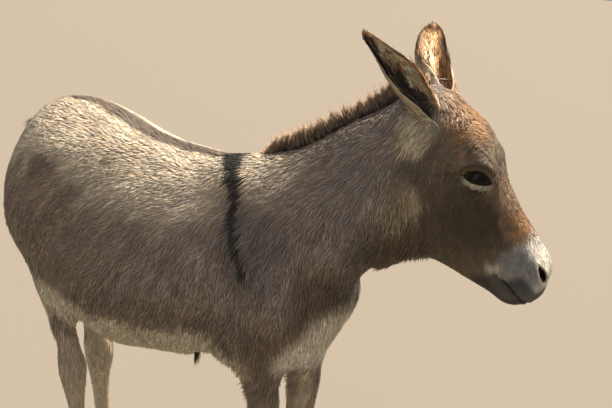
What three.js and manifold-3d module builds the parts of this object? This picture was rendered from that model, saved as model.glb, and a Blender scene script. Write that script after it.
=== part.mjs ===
// A standing miniature donkey at life size, in millimetres, +Z up, +X along the trunk to the chest.
// Its flesh is one smooth body, parted by thin plane cuts into head, neck, trunk, legs and tail.
// While it is made, the origin lies on the ground under the withers; the last lines centre it.
import * as THREE from 'three';
import { mergeVertices } from 'three/addons/utils/BufferGeometryUtils.js';
import Module from 'manifold-3d';

const wasm = await Module();
wasm.setup();

// ---- Driving dimensions -------------------------------------------------------------------

const WITHERS = 860; // height of the withers above the ground
const GAP = 0.3; // clear cut between two neighbouring parts
const SEAT = 1; // clearance round what is set into the faceted flesh
const HEAD_LENGTH = 396; // poll to the tip of the upper lip
const HEAD_TURN = 22; // degrees that the head looks to the donkey's left
const HEAD_DIP = 64; // degrees that the face slopes below the level
const POLL = new THREE.Vector3(376, 95, 1007); // top of the head between the ears
const EAR_LENGTH = 192; // from the root to the tip of an ear
const EYE_RADIUS = 24;
const HOOF_HEIGHT = 46; // at the front of the coronet

// The trunk in cross sections along x: back line, belly line, half width.
// lean above 0 makes a section wider at its foot, and power above 2 makes it squarer.
const TRUNK = [
  { t: -624, low: 650, high: 750, half: 36, lean: 0, power: 2 },
  { t: -604, low: 600, high: 806, half: 80, lean: 0, power: 2 },
  { t: -560, low: 545, high: 858, half: 114, lean: 0.05, power: 2 },
  { t: -500, low: 490, high: 894, half: 136, lean: 0.1, power: 2.1 },
  { t: -440, low: 436, high: 899, half: 148, lean: 0.15, power: 2.2 },
  { t: -360, low: 412, high: 888, half: 160, lean: 0.2, power: 2.2 },
  { t: -280, low: 404, high: 863, half: 172, lean: 0.22, power: 2.2 },
  { t: -190, low: 418, high: 845, half: 172, lean: 0.22, power: 2.2 },
  { t: -90, low: 436, high: 842, half: 156, lean: 0.22, power: 2.2 },
  { t: 0, low: 452, high: WITHERS - 16, half: 128, lean: 0.18, power: 2.1 },
  { t: 80, low: 460, high: 836, half: 108, lean: 0.05, power: 2.1 },
  { t: 145, low: 485, high: 800, half: 92, lean: 0, power: 2 },
  { t: 190, low: 540, high: 735, half: 66, lean: 0, power: 2 },
  { t: 212, low: 590, high: 690, half: 30, lean: 0, power: 2 },
];

// The neck in cross sections along its own axis, from inside the chest to the poll.
// shift bends it to the donkey's left; low and high are the throat and the crest.
const NECK_FOOT = new THREE.Vector3(20, 0, 720);
const NECK = [
  { t: 0, low: -170, high: 100, half: 92, shift: 0, lean: 0.1, power: 2 },
  { t: 110, low: -184, high: 84, half: 86, shift: 0, lean: 0.25, power: 2 },
  { t: 210, low: -176, high: 80, half: 74, shift: 12, lean: 0.3, power: 2 },
  { t: 290, low: -160, high: 76, half: 64, shift: 30, lean: 0.25, power: 2 },
  { t: 345, low: -128, high: 70, half: 58, shift: 46, lean: 0.2, power: 2 },
  { t: 400, low: -80, high: 60, half: 50, shift: 68, lean: 0.1, power: 2 },
  { t: 440, low: -40, high: 36, half: 34, shift: 82, lean: 0, power: 2 },
];

// The head in cross sections along the face, from the poll to the lips.
const HEAD = [
  { t: -22, low: -70, high: -28, half: 32, lean: 0, power: 2 },
  { t: 0, low: -105, high: -4, half: 46, lean: -0.05, power: 2.1 },
  { t: 40, low: -130, high: 17, half: 58, lean: -0.08, power: 2.2 },
  { t: 90, low: -155, high: 35, half: 65, lean: -0.1, power: 2.3 },
  { t: 140, low: -176, high: 34, half: 66, lean: -0.12, power: 2.3 },
  { t: 190, low: -186, high: 25, half: 59, lean: -0.12, power: 2.3 },
  { t: 240, low: -172, high: 27, half: 49, lean: -0.1, power: 2.2 },
  { t: 290, low: -136, high: 34, half: 42, lean: 0, power: 2.2 },
  { t: 335, low: -100, high: 30, half: 38, lean: 0.05, power: 2.2 },
  { t: 368, low: -76, high: 11, half: 34, lean: 0, power: 2.1 },
  { t: HEAD_LENGTH - 6, low: -54, high: -14, half: 20, lean: 0, power: 2 },
];

// A leg from the ground up: x and y of its middle, half its depth and half its width.
const FORELEG = [
  { t: 30, x: 86, deep: 27, wide: 24 },
  { t: 50, x: 80, deep: 25, wide: 22 },
  { t: 68, x: 73, deep: 19, wide: 18 },
  { t: 88, x: 66, deep: 22, wide: 20 },
  { t: 104, x: 64, deep: 22, wide: 20 },
  { t: 125, x: 64, deep: 18, wide: 16 },
  { t: 190, x: 64, deep: 18.5, wide: 17 },
  { t: 222, x: 66, deep: 23, wide: 24 },
  { t: 252, x: 70, deep: 27, wide: 28 },
  { t: 285, x: 67, deep: 27, wide: 25 },
  { t: 340, x: 66, deep: 32, wide: 27 },
  { t: 400, x: 66, deep: 38, wide: 31 },
  { t: 460, x: 62, deep: 50, wide: 38 },
  { t: 530, x: 45, deep: 62, wide: 44 },
];
const HIND_LEG = [
  { t: 30, x: -402, deep: 26, wide: 23 },
  { t: 50, x: -409, deep: 24, wide: 21 },
  { t: 70, x: -419, deep: 19, wide: 18 },
  { t: 92, x: -432, deep: 22, wide: 20 },
  { t: 108, x: -437, deep: 22, wide: 20 },
  { t: 132, x: -441, deep: 19, wide: 16 },
  { t: 230, x: -452, deep: 22, wide: 18 },
  { t: 275, x: -455, deep: 30, wide: 24 },
  { t: 305, x: -456, deep: 35, wide: 28 },
  { t: 335, x: -454, deep: 36, wide: 28 },
  { t: 361, x: -459, deep: 30, wide: 24 },
  { t: 385, x: -469, deep: 32, wide: 25 },
  { t: 425, x: -480, deep: 45, wide: 32 },
  { t: 480, x: -486, deep: 62, wide: 42 },
  { t: 550, x: -480, deep: 76, wide: 52 },
  { t: 640, x: -486, deep: 90, wide: 56 },
];

// How each leg stands: half the track, how far its foot and its top are set along x, how low
// its hock sits, and how stout its shank is.
const STANCE = {
  fore_right: { y: -46, ahead: 0, top: 0, drop: 0, stout: 1 },
  fore_left: { y: 50, ahead: -12, top: 30, drop: 0, stout: 1 },
  hind_right: { y: -68, ahead: 6, top: 0, drop: 0, stout: 1 },
  hind_left: { y: 66, ahead: -77, top: -46, drop: 26, stout: 1.12 },
};

const COLOURS = {
  head: 0x7d6a5a,
  neck: 0x75695f,
  trunk: 0x8a7a6c,
  leg: 0x94816c,
  ear: 0xa78760,
  mane: 0x3a2a22,
  tail: 0x7d6c5c,
  tassel: 0x35261f,
  hoof: 0x3a332e,
  eye: 0x0c0908,
};

// ---- Curves through a table of sections -----------------------------------------------------

// The value of one column at t: a cubic through the rows that doesn't overshoot them.
function along(rows, column, t) {
  const last = rows.length - 1;
  if (t <= rows[0].t) return rows[0][column];
  if (t >= rows[last].t) return rows[last][column];
  let i = 0;
  while (rows[i + 1].t < t) i += 1;
  const slope = (j) => (rows[j + 1][column] - rows[j][column]) / (rows[j + 1].t - rows[j].t);
  const tangent = (j) => {
    if (j === 0) return slope(0);
    if (j === last) return slope(last - 1);
    const before = slope(j - 1);
    const after = slope(j);
    return before * after <= 0 ? 0 : (2 * before * after) / (before + after);
  };
  const span = rows[i + 1].t - rows[i].t;
  const s = (t - rows[i].t) / span;
  const rise = s * s * (3 - 2 * s);
  const lead = s * (1 - s) * (1 - s) * span * tangent(i);
  const trail = s * s * (1 - s) * span * tangent(i + 1);
  return rows[i][column] * (1 - rise) + rows[i + 1][column] * rise + lead - trail;
}

// ---- Shapes as fields: a point's rough distance to the skin, below 0 inside -----------------

// A frame by its origin and two directions; its inverse takes a point of the animal into it.
function frameAt(origin, forward, side) {
  const x = forward.clone().normalize();
  const y = side.clone().addScaledVector(x, -side.dot(x)).normalize();
  const z = new THREE.Vector3().crossVectors(x, y);
  return new THREE.Matrix4().makeBasis(x, y, z).setPosition(origin);
}

// One cross section: an oval between low and high, wider to its foot or its top by lean.
function ovalDistance(row, side, height) {
  const middle = (row.low + row.high) / 2;
  const tall = (row.high - row.low) / 2;
  const up = (height - middle) / tall;
  const wide = row.half * (1 - row.lean * THREE.MathUtils.clamp(up, -1, 1));
  const across = (side - row.shift) / wide;
  const reach = (Math.abs(across) ** row.power + Math.abs(up) ** row.power) ** (1 / row.power);
  return (reach - 1) * Math.min(wide, tall);
}

// A body swept through a table of sections along the frame's x.
function sweep(frame, rows) {
  const inward = frame.clone().invert();
  const local = new THREE.Vector3();
  const first = rows[0].t;
  const last = rows[rows.length - 1].t;
  const columns = ['low', 'high', 'half', 'lean', 'power', 'shift'];
  return (point) => {
    local.copy(point).applyMatrix4(inward);
    const t = THREE.MathUtils.clamp(local.x, first, last);
    const row = {};
    for (const column of columns) row[column] = column in rows[0] ? along(rows, column, t) : 0;
    const across = ovalDistance(row, local.y, local.z);
    const beyond = Math.abs(local.x - t);
    return beyond > 0 ? Math.hypot(Math.max(across, 0), beyond) + Math.min(across, 0) * 0.1 : across;
  };
}

// A muscle or bone from a to b, its radius going from ra to rb, flattened sideways by flat.
function muscle(a, b, ra, rb, flat = 1) {
  const axis = new THREE.Vector3().subVectors(b, a);
  const lengthSquared = axis.lengthSq();
  const offset = new THREE.Vector3();
  return (point) => {
    const s = THREE.MathUtils.clamp(offset.subVectors(point, a).dot(axis) / lengthSquared, 0, 1);
    offset.addScaledVector(axis, -s);
    return Math.hypot(offset.x, offset.y / flat, offset.z) - (ra + (rb - ra) * s);
  };
}

// A rounded lump in a frame of its own, with one radius for each direction.
function lump(frame, centre, radii) {
  const inward = frame.clone().invert();
  const local = new THREE.Vector3();
  const least = Math.min(radii.x, radii.y, radii.z);
  return (point) => {
    local.copy(point).applyMatrix4(inward).sub(centre).divide(radii);
    return (local.length() - 1) * least;
  };
}

// Shapes run into each other over a width of k.
function blend(k, ...shapes) {
  return (point) => {
    let value = shapes[0](point);
    for (let i = 1; i < shapes.length; i += 1) {
      const other = shapes[i](point);
      const near = Math.max(k - Math.abs(value - other), 0) / k;
      value = Math.min(value, other) - (near * near * k) / 4;
    }
    return value;
  };
}

// ---- From a field to a closed solid ---------------------------------------------------------

// Grid lines from a list of [start, step], the last start being the end.
function gridLines(stretches) {
  const lines = [];
  for (let i = 0; i + 1 < stretches.length; i += 1) {
    const [from, step] = stretches[i];
    const to = stretches[i + 1][0];
    const count = Math.max(1, Math.round((to - from) / step));
    for (let j = 0; j < count; j += 1) lines.push(from + ((to - from) * j) / count);
  }
  lines.push(stretches[stretches.length - 1][0]);
  return lines;
}

// The field's zero surface over a grid in the given frame, as one closed triangle mesh.
function polygonise(field, frame, xs, ys, zs) {
  const point = new THREE.Vector3();
  const grid = {
    lines: [xs, ys, zs],
    sizes: [xs.length, ys.length, zs.length],
    at: (i, j, k) => (k * ys.length + j) * xs.length + i,
    valueAt: (x, y, z) => field(point.set(x, y, z).applyMatrix4(frame)),
  };
  grid.values = gridValues(grid);
  fillPinches(grid);
  const { vertices, vertexOf } = cellVertices(grid);
  const triangles = skinFaces(grid, vertices, vertexOf);
  const placed = vertices.flatMap((v) => v.clone().applyMatrix4(frame).toArray());
  return solid(new Float32Array(placed), new Uint32Array(triangles));
}

// The field at each grid point; the grid's rim counts as outside, so that the skin closes.
function gridValues({ lines, sizes, at, valueAt }) {
  const [nx, ny, nz] = sizes;
  const values = new Float64Array(nx * ny * nz);
  const NEVER_ZERO = 1e-6;
  const onRim = (i, j, k) => i * j * k === 0 || i === nx - 1 || j === ny - 1 || k === nz - 1;
  for (let k = 0; k < nz; k += 1) {
    for (let j = 0; j < ny; j += 1) {
      for (let i = 0; i < nx; i += 1) {
        const value = valueAt(lines[0][i], lines[1][j], lines[2][k]) || NEVER_ZERO;
        values[at(i, j, k)] = onRim(i, j, k) ? Math.max(value, 1) : value;
      }
    }
  }
  return values;
}

const CORNERS = [0, 1, 2, 3, 4, 5, 6, 7].map((c) => [c & 1, (c >> 1) & 1, (c >> 2) & 1]);
const EDGES = CORNERS.flatMap((corner, a) =>
  [1, 2, 4].filter((bit) => !(a & bit)).map((bit) => [corner, CORNERS[a | bit]]),
);

// One vertex in each cell that the skin passes through, settled onto the skin.
function cellVertices(grid) {
  const { lines, sizes, at } = grid;
  const vertices = [];
  const vertexOf = new Map();
  for (let k = 0; k + 1 < sizes[2]; k += 1) {
    for (let j = 0; j + 1 < sizes[1]; j += 1) {
      for (let i = 0; i + 1 < sizes[0]; i += 1) {
        const middle = crossingsMiddle(grid, [i, j, k]);
        if (!middle) continue;
        vertexOf.set(at(i, j, k), vertices.length);
        vertices.push(settle(middle, grid.valueAt, lines[0][i + 1] - lines[0][i]));
      }
    }
  }
  return { vertices, vertexOf };
}

// The middle of the points where the skin cuts one cell's edges, or null where it misses them.
function crossingsMiddle({ lines, at, values }, cell) {
  const sum = new THREE.Vector3();
  let crossings = 0;
  for (const ends of EDGES) {
    const [from, to] = ends.map((end) => end.map((step, axis) => cell[axis] + step));
    const [before, after] = [values[at(...from)], values[at(...to)]];
    if (before < 0 === after < 0) continue;
    const s = before / (before - after);
    const spot = from.map((n, axis) => THREE.MathUtils.lerp(lines[axis][n], lines[axis][to[axis]], s));
    sum.add(new THREE.Vector3(...spot));
    crossings += 1;
  }
  return crossings ? sum.divideScalar(crossings) : null;
}

// Each grid edge that pierces the skin carries one face between the four cells round it.
function skinFaces({ sizes, at, values }, vertices, vertexOf) {
  const around = [
    [[0, 1, 1], [0, 0, 1], [0, 0, 0], [0, 1, 0]],
    [[1, 0, 1], [1, 0, 0], [0, 0, 0], [0, 0, 1]],
    [[1, 1, 0], [0, 1, 0], [0, 0, 0], [1, 0, 0]],
  ];
  const triangles = [];
  const quad = (corner, turned) => {
    const [p, q, r, s] = corner.map((v) => vertices[v]);
    const [a, b, c, d] = corner;
    const pair = p.distanceTo(r) < q.distanceTo(s) ? [[a, b, c], [a, c, d]] : [[b, c, d], [b, d, a]];
    for (const triangle of pair) triangles.push(...(turned ? triangle.reverse() : triangle));
  };
  around.forEach((cells, axis) => {
    const first = [0, 1, 2].map((n) => (n === axis ? 0 : 1));
    for (let k = first[2]; k + 1 < sizes[2]; k += 1) {
      for (let j = first[1]; j + 1 < sizes[1]; j += 1) {
        for (let i = first[0]; i + 1 < sizes[0]; i += 1) {
          const inside = values[at(i, j, k)] < 0;
          const next = [i, j, k].map((n, d) => n + (d === axis ? 1 : 0));
          if (inside === values[at(...next)] < 0) continue;
          quad(cells.map(([di, dj, dk]) => vertexOf.get(at(i - di, j - dj, k - dk))), !inside);
        }
      }
    }
  });
  return triangles;
}

// Where flesh meets only at opposite corners of a grid face, one more corner is filled, so that
// no edge of the skin is shared by more than two faces.
function fillPinches({ sizes, at, values }) {
  const JUST_INSIDE = -0.5;
  const steps = [[1, 0, 0], [0, 1, 0], [0, 0, 1]];
  for (const [a, b] of [[0, 1], [0, 2], [1, 2]]) {
    const room = sizes.map((size, axis) => size - (axis === a || axis === b ? 1 : 0));
    for (let k = 0; k < room[2]; k += 1) {
      for (let j = 0; j < room[1]; j += 1) {
        for (let i = 0; i < room[0]; i += 1) {
          const corner = (m, n) => at(...[i, j, k].map((v, d) => v + m * steps[a][d] + n * steps[b][d]));
          const ring = [corner(0, 0), corner(1, 0), corner(1, 1), corner(0, 1)];
          const [p, q, r, s] = ring.map((c) => values[c] < 0);
          if (p !== r || q !== s || p === q) continue;
          const open = p ? [ring[1], ring[3]] : [ring[0], ring[2]];
          values[open[values[open[0]] < values[open[1]] ? 0 : 1]] = JUST_INSIDE;
        }
      }
    }
  }
}

// A vertex moved down the field's slope onto the surface, by less than half a cell.
function settle(start, valueAt, cell) {
  const here = start.clone();
  const step = 0.5;
  const ROUNDS = 3;
  const LEAST_SLOPE = 0.04;
  const REACH = 0.4;
  for (let round = 0; round < ROUNDS; round += 1) {
    const value = valueAt(here.x, here.y, here.z);
    const slope = new THREE.Vector3(
      valueAt(here.x + step, here.y, here.z) - valueAt(here.x - step, here.y, here.z),
      valueAt(here.x, here.y + step, here.z) - valueAt(here.x, here.y - step, here.z),
      valueAt(here.x, here.y, here.z + step) - valueAt(here.x, here.y, here.z - step),
    ).divideScalar(2 * step);
    here.addScaledVector(slope, -value / Math.max(slope.lengthSq(), LEAST_SLOPE));
  }
  const moved = here.clone().sub(start);
  const length = Math.max(moved.length(), 1e-6);
  return start.addScaledVector(moved, Math.min(1, (REACH * cell) / length));
}

function solid(vertProperties, triVerts) {
  return new wasm.Manifold(new wasm.Mesh({ numProp: 3, vertProperties, triVerts }));
}

// A solid from a three.js geometry, placed by a matrix.
function solidOf(geometry, matrix) {
  const bare = geometry.clone().applyMatrix4(matrix);
  bare.deleteAttribute('normal');
  bare.deleteAttribute('uv');
  const merged = mergeVertices(bare, 1e-4);
  return solid(merged.attributes.position.array, new Uint32Array(merged.index.array));
}

// The space on one side of a plane, as a huge box that stands on it.
function beyond(point, normal) {
  const SPAN = 4000;
  const turn = new THREE.Quaternion().setFromUnitVectors(
    new THREE.Vector3(0, 0, 1),
    normal.clone().normalize(),
  );
  const place = new THREE.Matrix4().compose(point, turn, new THREE.Vector3(1, 1, 1));
  const lift = new THREE.Matrix4().makeTranslation(0, 0, SPAN / 2);
  return solidOf(new THREE.BoxGeometry(SPAN, SPAN, SPAN), place.multiply(lift));
}

function box(low, high) {
  const size = new THREE.Vector3().subVectors(high, low);
  const centre = new THREE.Vector3().addVectors(low, high).divideScalar(2);
  const place = new THREE.Matrix4().makeTranslation(centre.x, centre.y, centre.z);
  return solidOf(new THREE.BoxGeometry(size.x, size.y, size.z), place);
}

// A skin over rings of equal point counts; the ends close flat onto their own middles.
function ringSolid(rings) {
  const count = rings[0].length;
  const vertices = rings.flat();
  const triangles = [];
  for (let r = 0; r + 1 < rings.length; r += 1) {
    for (let i = 0; i < count; i += 1) {
      const a = r * count + i;
      const b = r * count + ((i + 1) % count);
      triangles.push(a, b, b + count, a, b + count, a + count);
    }
  }
  for (const [ring, turned] of [[0, true], [rings.length - 1, false]]) {
    const middle = vertices.length;
    const centre = new THREE.Vector3();
    for (const p of rings[ring]) centre.addScaledVector(p, 1 / count);
    vertices.push(centre);
    for (let i = 0; i < count; i += 1) {
      const a = ring * count + i;
      const b = ring * count + ((i + 1) % count);
      triangles.push(...(turned ? [b, a, middle] : [a, b, middle]));
    }
  }
  return solid(new Float32Array(vertices.flatMap((v) => v.toArray())), new Uint32Array(triangles));
}

// ---- The flesh --------------------------------------------------------------------------------

const vec = (x, y, z) => new THREE.Vector3(x, y, z);
const radians = THREE.MathUtils.degToRad;

// The head's own frame: x from the poll down the face, y to the donkey's left, z out of the face.
const headForward = vec(Math.cos(radians(HEAD_TURN)), Math.sin(radians(HEAD_TURN)), 0);
const headDown = headForward.clone().multiplyScalar(Math.cos(radians(HEAD_DIP)));
headDown.z = -Math.sin(radians(HEAD_DIP));
const headLeft = vec(-headForward.y, headForward.x, 0);
const headFrame = frameAt(POLL, headDown, headLeft);
const inHead = (x, y, z) => vec(x, y, z).applyMatrix4(headFrame);

// The neck's frame: x from the chest to the poll, y to the donkey's left, z to the crest.
const neckForward = vec(POLL.x - NECK_FOOT.x, 0, POLL.z - 40 - NECK_FOOT.z);
const neckFrame = frameAt(NECK_FOOT, neckForward, vec(0, 1, 0));
const inNeck = (t, side, height) => vec(t, side, height).applyMatrix4(neckFrame);

function headField() {
  const skull = sweep(headFrame, HEAD);
  const parts = [skull];
  for (const side of [-1, 1]) {
    const put = (x, y, z, rx, ry, rz) => lump(headFrame, vec(x, side * y, z), vec(rx, ry, rz));
    parts.push(put(136, 50, 6, 32, 19, 22)); // brow over the eye
    parts.push(put(168, 34, -105, 80, 32, 76)); // cheek muscle
    parts.push(put(205, 42, -32, 52, 14, 16)); // ridge from the eye down the face
    parts.push(put(338, 25, 5, 36, 21, 26)); // nostril
  }
  parts.push(lump(headFrame, vec(368, 0, -16), vec(25, 34, 26))); // upper lip
  parts.push(lump(headFrame, vec(364, 0, -54), vec(25, 27, 21))); // lower lip and chin
  return blend(14, ...parts);
}

// A leg's table moved to its stance: its x slides from the foot to the top, its hock sinks.
function standing(rows, stance) {
  const LEG_TOP = 460;
  const JOINT = 320;
  const SHANK = [90, 400];
  return rows.map((row) => {
    const deep = row.deep * (row.t > SHANK[0] && row.t < SHANK[1] ? stance.stout : 1);
    const rise = THREE.MathUtils.clamp(row.t / LEG_TOP, 0, 1);
    const x = row.x + THREE.MathUtils.lerp(stance.ahead, stance.top, rise * rise);
    const sink = stance.drop * Math.min(row.t / JOINT, 1) * (row.t > LEG_TOP ? 0.5 : 1);
    return { ...row, x, deep, t: row.t - sink };
  });
}

function legField(rows, stance) {
  const placed = standing(rows, stance);
  const [foot, top] = [placed[0].t, placed[placed.length - 1].t];
  return (point) => {
    const t = THREE.MathUtils.clamp(point.z, foot, top);
    const deep = along(placed, 'deep', t);
    const wide = along(placed, 'wide', t);
    const reach = Math.hypot((point.x - along(placed, 'x', t)) / deep, (point.y - stance.y) / wide);
    const across = (reach - 1) * Math.min(deep, wide);
    const past = Math.abs(point.z - t);
    return past > 0 ? Math.hypot(Math.max(across, 0), past) : across;
  };
}

function shoulderField(side) {
  return blend(
    30,
    muscle(vec(20, side * 52, 790), vec(120, side * 82, 610), 40, 62, 0.7), // shoulder blade
    muscle(vec(135, side * 84, 600), vec(40, side * 78, 500), 56, 50, 0.72), // upper arm
    muscle(vec(34, side * 72, 505), vec(26, side * 64, 488), 32, 22, 0.9), // elbow
  );
}

function thighField(side, ahead) {
  return blend(
    40,
    muscle(vec(-430, side * 88, 780), vec(-502 + ahead * 0.2, side * 88, 650), 66, 88, 0.72), // hip
    muscle(vec(-534, side * 70, 710), vec(-502 + ahead * 0.4, side * 72, 570), 58, 46, 0.8), // buttock
    muscle(vec(-420, side * 90, 600), vec(-440 + ahead * 0.4, side * 80, 530), 60, 46, 0.72), // stifle
  );
}

const legFields = {
  fore_right: legField(FORELEG, STANCE.fore_right),
  fore_left: legField(FORELEG, STANCE.fore_left),
  hind_right: legField(HIND_LEG, STANCE.hind_right),
  hind_left: legField(HIND_LEG, STANCE.hind_left),
};
const hockPoints = [STANCE.hind_right, STANCE.hind_left].map((stance) =>
  muscle(
    vec(-482 + stance.ahead * 0.9, stance.y, 334 - stance.drop),
    vec(-480 + stance.ahead * 0.85, stance.y, 372 - stance.drop),
    12,
    9,
    0.8,
  ),
);
const onTrunk = frameAt(vec(0, 0, 0), vec(1, 0, 0), vec(0, 1, 0));
const torso = blend(
  46,
  sweep(onTrunk, TRUNK),
  sweep(neckFrame, NECK),
  shoulderField(-1),
  shoulderField(1),
  thighField(-1, STANCE.hind_right.ahead),
  thighField(1, STANCE.hind_left.ahead),
  muscle(vec(150, 0, 600), vec(120, 0, 520), 62, 52, 1.1), // breast
  muscle(vec(-236, 0, 412), vec(-160, 0, 416), 16, 11, 1.2), // sheath
);
const limbs = blend(24, torso, ...Object.values(legFields), ...hockPoints);
const flesh = blend(40, limbs, headField());

// ---- Cuts -------------------------------------------------------------------------------------

// The forelegs and the hind legs leave the trunk at a height, within a stretch of x and y.
const LEG_CUTS = {
  fore: { height: 436, back: -60, front: 220, side: 200, rows: FORELEG },
  hind: { height: 412, back: -740, front: -398, side: 200, rows: HIND_LEG },
};
const NECK_CUT = { point: vec(62, 0, 858), normal: vec(0.86, 0, 0.52) };
const HEAD_CUT = { point: inHead(-40, 0, -45), normal: inHead(0.578, 0, 0.816).sub(POLL) };
const CORONET = 34; // height of the top of a hoof at its heel

const half = GAP / 2;
const shifted = (cut, by) => cut.point.clone().addScaledVector(cut.normal.clone().normalize(), by);
const afterCut = (cut) => beyond(shifted(cut, half), cut.normal);
const beforeCut = (cut) => beyond(shifted(cut, -half), cut.normal.clone().negate());

// How finely each block is faceted: grid lines along the three axes of its frame.
const HEAD_GRID = [
  gridLines([[-100, 24], [92, 17], [280, 13], [412]]),
  gridLines([[-112, 17], [112]]),
  gridLines([[-245, 22], [-70, 15], [62]]),
];
const NECK_GRID = [
  gridLines([[-60, 35], [540]]),
  gridLines([[-140, 26], [190]]),
  gridLines([[-300, 31], [150]]),
];
const TRUNK_GRID = [
  gridLines([[-690, 34], [-540, 49], [330]]),
  gridLines([[-234, 38], [-44, 29.4], [44, 38], [234]]),
  gridLines([[340, 37], [1010]]),
];

const world = new THREE.Matrix4();
const headBlock = polygonise(flesh, headFrame, ...HEAD_GRID);
const neckBlock = polygonise(flesh, neckFrame, ...NECK_GRID);
const trunkBlock = polygonise(flesh, world, ...TRUNK_GRID);

// The space below a leg cut, from one side to the other, grown by a margin.
function roomBelow(cut, from, to, margin) {
  const low = vec(cut.back - margin, from - margin, 0);
  return box(low, vec(cut.front + margin, to + margin, cut.height + margin));
}

function legSolid(stance, cut) {
  const middle = cut.rows[5].x + stance.ahead;
  const block = polygonise(
    flesh,
    world,
    gridLines([[middle - 150, 34], [middle - 60, 15], [middle + 45, 32], [middle + 110]]),
    gridLines([[stance.y - 78, 21], [stance.y - 36, 14.4], [stance.y + 36, 21], [stance.y + 78]]),
    gridLines([[4, 23], [119, 32], [cut.height + 60]]),
  );
  const [from, to] = stance.y > 0 ? [0, cut.side] : [-cut.side, 0];
  return block.intersect(roomBelow(cut, from, to, -half)).subtract(hoofRoom(cut.rows, stance));
}

// A hoof: a slanted block of horn, wider at the ground, cut flat on it.
function hoofPlace(rows, stance) {
  return { x: rows[0].x + stance.ahead, y: stance.y };
}

function coronetCut(place) {
  const HOOF_DEPTH = 50;
  const rise = (HOOF_HEIGHT - CORONET) / HOOF_DEPTH;
  return { point: vec(place.x, place.y, (HOOF_HEIGHT + CORONET) / 2), normal: vec(-rise, 0, 1) };
}

function hoofRoom(rows, stance) {
  return beforeCut(coronetCut(hoofPlace(rows, stance)));
}

function hoofSolid(rows, stance) {
  const place = hoofPlace(rows, stance);
  const SIDES = 12;
  const HEEL = 0.82; // how much shorter the hoof is behind than in front
  const levels = [
    { z: 0, x: 7, deep: 34, wide: 28 },
    { z: 4, x: 7, deep: 35, wide: 28.5 },
    { z: 26, x: 3, deep: 31, wide: 26 },
    { z: 60, x: -5, deep: 26, wide: 23 },
  ];
  const rings = levels.map((level) =>
    Array.from({ length: SIDES }, (_, i) => {
      const angle = (2 * Math.PI * i) / SIDES;
      const heel = Math.cos(angle) < -0.3 ? HEEL : 1;
      return vec(
        place.x + level.x + level.deep * Math.cos(angle) * heel,
        place.y + level.wide * Math.sin(angle),
        level.z,
      );
    }),
  );
  return ringSolid(rings).intersect(beforeCut(coronetCut(place)));
}

// ---- Ears, eyes, nostrils, mouth ----------------------------------------------------------------

const EYE_AT = { x: 150, y: 46.5, z: -8 };
const NOSTRIL_AT = { x: 347, y: 36, z: 19 };
const NOSTRIL_RADII = vec(16, 12, 8.5); // half its length, depth and breadth

// Each ear points along its own direction in the head's frame and opens to another; sway bows
// its middle sideways, and wide scales its breadth.
const EARS = {
  ear_right: { root: [14, -40, -44], point: [-170, -92, -16], open: [0.3, 0, 0.95], sway: 6, wide: 0.9 },
  ear_left: { root: [4, 37, -29], point: [-100, 158, -4], open: [-0.3, -0.6, 0.75], sway: -13, wide: 1 },
};
const EAR_BOW = 10; // how far the middle of an ear bends back
const EAR = [
  { t: 0, radius: 24, wrap: 150, thick: 7 },
  { t: 0.14, radius: 27, wrap: 138, thick: 6 },
  { t: 0.34, radius: 31, wrap: 118, thick: 5 },
  { t: 0.56, radius: 30, wrap: 104, thick: 4.5 },
  { t: 0.78, radius: 24, wrap: 96, thick: 4 },
  { t: 0.93, radius: 15, wrap: 92, thick: 4 },
  { t: 1, radius: 7, wrap: 88, thick: 3 },
];

// An ear is a scoop: rings shaped like a C, wide open in the middle and closing to its root.
function earSolid(ear) {
  const root = inHead(...ear.root);
  const axis = inHead(...ear.point).sub(POLL).normalize();
  const open = inHead(...ear.open).sub(POLL);
  open.addScaledVector(axis, -open.dot(axis)).normalize();
  const across = new THREE.Vector3().crossVectors(axis, open);
  const RINGS = 10;
  const WALL = 7;
  const LEAST_REACH = 1.5;
  const CREASE = 0.35; // how far the back of the ear is pushed in towards its opening
  const rings = [];
  for (let r = 0; r < RINGS; r += 1) {
    const t = r / (RINGS - 1);
    const radius = along(EAR, 'radius', t) * ear.wide;
    const thick = along(EAR, 'thick', t);
    const wrap = radians(along(EAR, 'wrap', t));
    const bend = Math.sin(Math.PI * t);
    const centre = root.clone().addScaledVector(axis, EAR_LENGTH * t);
    centre.addScaledVector(open, -EAR_BOW * bend).addScaledVector(across, ear.sway * bend);
    const spot = (angle, reach) =>
      centre
        .clone()
        .addScaledVector(open, -Math.cos(angle) * reach + radius * CREASE)
        .addScaledVector(across, Math.sin(angle) * reach);
    const ring = [];
    for (let i = 0; i < WALL; i += 1) ring.push(spot(wrap * (1 - (2 * i) / (WALL - 1)), radius));
    for (let i = 0; i < WALL; i += 1) {
      const angle = wrap * ((2 * i) / (WALL - 1) - 1);
      ring.push(spot(angle, Math.max(radius - thick, LEAST_REACH)));
    }
    rings.push(ring);
  }
  return bandSolid(rings);
}

// A skin over C-shaped rings; each end closes between its outer and its inner arc.
function bandSolid(rings) {
  const count = rings[0].length;
  const triangles = [];
  for (let r = 0; r + 1 < rings.length; r += 1) {
    for (let i = 0; i < count; i += 1) {
      const a = r * count + i;
      const b = r * count + ((i + 1) % count);
      triangles.push(a, b, b + count, a, b + count, a + count);
    }
  }
  for (const [ring, turned] of [[0, true], [rings.length - 1, false]]) {
    for (let i = 0; i + 1 < count / 2; i += 1) {
      const quad = [i, i + 1, count - 2 - i, count - 1 - i].map((n) => ring * count + n);
      const [a, b, c, d] = turned ? quad.reverse() : quad;
      triangles.push(a, b, c, a, c, d);
    }
  }
  const points = rings.flat().flatMap((v) => v.toArray());
  return solid(new Float32Array(points), new Uint32Array(triangles));
}

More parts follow.
